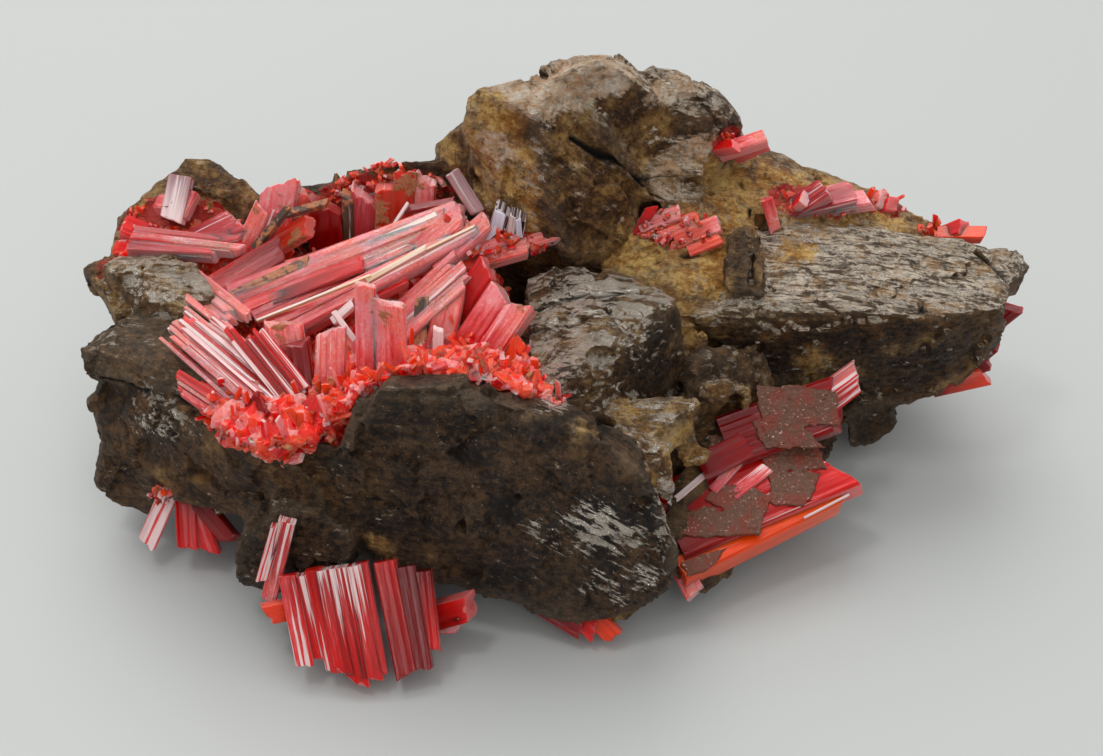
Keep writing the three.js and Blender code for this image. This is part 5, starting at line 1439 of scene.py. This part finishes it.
def rock_tree():
    """Geometry nodes that break a smooth skin into lumps, flat-faced chips, layers and grains."""
    tree = bpy.data.node_groups.new("broken_rock", "GeometryNodeTree")
    face = tree.interface
    face.new_socket("Geometry", in_out="INPUT", socket_type="NodeSocketGeometry")
    for name, default in ROCK_BREAKS.items():
        socket = face.new_socket(name, in_out="INPUT", socket_type="NodeSocketFloat")
        socket.default_value = default
    face.new_socket("Finish", in_out="INPUT", socket_type="NodeSocketMaterial")
    face.new_socket("Geometry", in_out="OUTPUT", socket_type="NodeSocketGeometry")
    given = {socket.name: Wire(socket) for socket in add(tree, "NodeGroupInput").outputs if socket.name}
    position = wire(tree, "GeometryNodeInputPosition")
    normal = wire(tree, "GeometryNodeInputNormal")
    place = vector_calc("SCALE", position, scale=1 / MM)  # millimetres

    def noisy(size, detail, output=0):
        values = {"Vector": place, "Scale": 1.0 / given[size], "Detail": detail, "Roughness": 0.55}
        return wire(tree, "ShaderNodeTexNoise", values, output)

    def lumps(size, depth, detail):
        return (noisy(size, detail) - 0.5) * (given[depth] * 2.0)

    def chips(size, slope):
        """Each cell is a flat facet with a tilt of its own."""
        warp = vector_calc("SCALE", noisy(size, 2.0, "Color"), scale=given[size])
        warped = vector_calc("ADD", place, warp)
        values = {"Vector": warped, "Scale": 1.0 / given[size]}
        cells = add(tree, "ShaderNodeTexVoronoi", values).outputs
        away = vector_calc("SUBTRACT", warped, Wire(cells["Position"]))
        tilt = vector_calc("SUBTRACT", Wire(cells["Color"]), (0.5, 0.5, 0.5))
        return vector_calc("DOT_PRODUCT", away, tilt) * (given[slope] * 2.0)

    def layers():
        """Ledges where the rock splits along its bedding."""
        level = height_of(place) + noisy("Lump Size", 3.0) * 5.0
        ledge = calc("FRACT", level / given["Layer Height"])
        steep = 1.0 - calc("ABSOLUTE", height_of(normal))
        return ledge * steep * given["Layer Depth"] * named(tree, "layered")

    def ripples():
        """Long low waves along the bedding."""
        values = {"Vector": place, "Rotation": RIPPLE_TURN}
        turned = wire(tree, "ShaderNodeVectorRotate", values, rotation_type="EULER_XYZ")
        stretched = vector_calc("MULTIPLY", turned, RIPPLE_STRETCH)
        wave = wire(tree, "ShaderNodeTexNoise", {"Vector": stretched, "Scale": 0.55, "Detail": 3.0})
        return (wave - 0.5) * (given["Ripple Depth"] * 2.0)

    height = lumps("Lump Size", "Lump Depth", 2.0) + chips("Chip Size", "Chip Slope")
    height = height + chips("Small Chip Size", "Small Chip Slope")
    height = height * (1.0 - named(tree, "flatness") * 0.7)
    height = height + lumps("Grain Size", "Grain Depth", 4.0) + layers() + ripples()
    broken = step_up(noisy("Chip Size", 3.0), 0.42, 0.62) * given["Worn Edge"]
    height = height - broken * named(tree, "edge") - named(tree, "crack") - given["Setback"]
    push = vector_calc("SCALE", normal, scale=height * MM)
    moved = wire(tree, "GeometryNodeSetPosition", {"Geometry": given["Geometry"], "Offset": push})
    finished = wire(tree, "GeometryNodeRealizeInstances", {"Geometry": moved})
    values = {"Geometry": finished, "Material": given["Finish"]}
    add(tree, "NodeGroupOutput", {"Geometry": wire(tree, "GeometryNodeSetMaterial", values)})
    return tree


def broken_up(obj, tree, name, finish, breaks):
    """The object after the tree with these inputs, as a plain mesh."""
    step = obj.modifiers.new(tree.name, "NODES")
    step.node_group = tree
    inputs = {"Finish": finish, **breaks}
    for item in tree.interface.items_tree:
        if item.in_out == "INPUT" and item.name in inputs:
            step[item.identifier] = inputs[item.name]
    return baked(obj, name)


# ---------------------------------------------------------------- pieces
def place_piece(piece, node):
    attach(piece, "root")
    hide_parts(node)


def make_rock(tree):
    rock = remeshed(hull_object("rock_blocks", BLOCKS.values()), ROCK_VOXEL, "rock_skin")
    points = vectors(rock.data.vertices, "co") / MM - ORIGIN
    traits, edge = survey(points)
    set_values(rock.data, "edge", edge)
    base = dict(zip(TRAITS, traits.T))
    for name, spots in SPOTS.items():
        set_values(rock.data, name, np.maximum(base.get(name, 0), ellipsoid_weight(points, spots)))
    crack = np.zeros(len(points))
    for line, radius, depth in CRACKS:
        crack = np.maximum(crack, depth * np.exp(-((line_distance(points, line) / radius) ** 2)))
    set_values(rock.data, "crack", crack)
    rock = broken_up(rock, tree, "rock_broken", rock_finish(), {})
    rock = thinned(rock, ROCK_KEPT, "rock")
    points = vectors(rock.data.vertices, "co")
    points[:, 2] = np.maximum(points[:, 2], 0)  # it stands on the floor
    rock.data.vertices.foreach_set("co", points.ravel())
    rock.data.update()
    place_piece(rock, "matrix")
    return rock


def make_vug(tree, material):
    """The hollow's crust: its prisms, the glassy mass that they stand in, and the druse on that."""
    roll = dice(FIRST_SEED)
    prisms = Batch()
    for fan in VUG_FANS:
        prisms.fan(fan, roll)
    for row in VUG_CRYSTALS:
        prisms.crystal(row, roll)
    place_piece(prisms.to_object("vug_prisms", material), "vug_crystals")
    bed = remeshed(hull_object("bed_blocks", VUG_BED), BED_VOXEL, "bed_skin")
    bed = broken_up(bed, tree, "vug_bed", druse_finish(), BED_BREAKS)
    place_piece(bed, "vug_crystals")
    small = Batch()
    small.sprigs(*upward_faces(bed, *HOLLOW), HOLLOW_SPRIGS, HOLLOW_SPRIG_SIZE, roll)
    place_piece(small.to_object("vug_sprigs", material), "vug_crystals")


def make_groups(rock, clear, coated):
    """The crystals outside the hollow, each group grown together."""
    for number, (node, rows) in enumerate(GROUPS.items()):
        large = node == "large_crystals"
        roll = dice(FIRST_SEED + 1 + number)
        batch = Batch()
        for row in rows:
            batch.crystal(row, roll, 0 if large else LOOSE)
        for owner, middle, radii, count in SPRIGS:
            if owner == node:
                batch.sprigs(*upward_faces(rock, middle, radii), count, SPRIG_SIZE, roll)
        piece = batch.to_object(node + "_fine", coated if large else clear)
        place_piece(piece, node)


def crystal_plane(row):
    """A point on a crystal's broad upper face, and that face's normal."""
    start, end, _, thickness, facing, _ = row
    normal = crystal_axes(np.asarray(start, float), np.asarray(end, float), facing)[2]
    return np.asarray(start, float) + normal * thickness / 2, normal


def ragged(outline, roll):
    """The outline with its sides broken into short uneven steps."""
    middle = outline.mean(axis=0)
    ring = []
    for a, b in zip(outline, np.roll(outline, -1, axis=0)):
        steps = max(1, round(np.linalg.norm(b - a) / COAT_STEP))
        for i in range(steps):
            p = mix(a, b, i / steps)
            ring.append(p + unit(middle - p) * COAT_STEP * 0.8 * sway(roll))
    return np.array(ring)


def make_coats(tree):
    """Thin crusts that lie on the large crystals, cut to their faces."""
    rows = GROUPS["large_crystals"]
    roll = dice(FIRST_SEED + 2)
    work = bmesh.new()
    for number, outline in COATS:
        point, normal = crystal_plane(rows[number])
        outline = np.array(outline, float)
        outline = ragged(outline - ((outline - point) @ normal)[:, None] * normal, roll)
        rings = []
        for ring in (outline - normal * COAT_DEPTH, outline + normal * COAT_THICKNESS):
            rings.append([work.verts.new(Vector(p)) for p in to_part(ring)])
            work.faces.new(rings[-1])
        for i, corner in enumerate(rings[0]):
            work.faces.new((rings[0][i - 1], corner, rings[1][i], rings[1][i - 1]))
    bmesh.ops.recalc_face_normals(work, faces=work.faces)
    coats = remeshed(object_of(work, "coat_slabs"), COAT_VOXEL, "coat_skin")
    coats = broken_up(coats, tree, "coats", coat_finish(), COAT_BREAKS)
    place_piece(coats, "large_crystals")


# ---------------------------------------------------------------- stage
def make_camera():
    data = bpy.data.cameras.new("camera")
    data.lens = CAMERA_LENS
    data.sensor_width = CAMERA_SENSOR
    camera = new_object("camera", data)
    look = np.array((0, math.cos(CAMERA_TILT), -math.sin(CAMERA_TILT)))
    camera.location = to_part(CAMERA_AIM - look * CAMERA_DISTANCE)
    camera.rotation_euler = (math.pi / 2 - CAMERA_TILT, 0, 0)
    bpy.context.scene.camera = camera


def make_floor():
    mesh = bpy.data.meshes.new("floor")
    corners = [(x * FLOOR_HALF, y * FLOOR_HALF, 0) for x, y in ((-1, -1), (1, -1), (1, 1), (-1, 1))]
    mesh.from_pydata(corners, [], [(0, 1, 2, 3)])
    floor = new_object("floor", mesh)
    material, _, shader, _ = new_material("pale_table")
    set_inputs(shader, {"Base Color": FLOOR_COLOUR, "Roughness": 0.55})
    mesh.materials.append(material)


def make_light():
    world = bpy.data.worlds.new("soft_sky")
    bpy.context.scene.world = world
    world.use_nodes = True
    tree = world.node_tree
    tree.nodes.clear()
    ray = wire(tree, "ShaderNodeTexCoord", output="Generated")
    height = vector_calc("DOT_PRODUCT", ray, SKY_TOP)
    sky = blend(step_up(height, 0.00, 0.95), *SKY_COLOURS)
    background = wire(tree, "ShaderNodeBackground", {"Color": sky, "Strength": SKY_STRENGTH})
    add(tree, "ShaderNodeOutputWorld", {"Surface": background})

    for name, place, size, watts in LAMPS:
        data = bpy.data.lights.new(name, "AREA")
        data.size = size
        data.energy = watts
        lamp = new_object(name, data)
        lamp.location = place
        aim = Vector(LAMP_AIM) - Vector(place)
        lamp.rotation_euler = aim.to_track_quat("-Z", "Y").to_euler()


make_camera()
make_floor()
make_light()
breaker = rock_tree()
rock = make_rock(breaker)
crocoite = crystal_finish("crocoite", clear=0.15, density=100.0)
coated = crystal_finish("coated_crocoite", clear=0.04, density=300.0)
make_vug(breaker, crocoite)
make_groups(rock, crocoite, coated)
make_coats(breaker)

bpy.context.scene.view_settings.view_transform = "Standard"
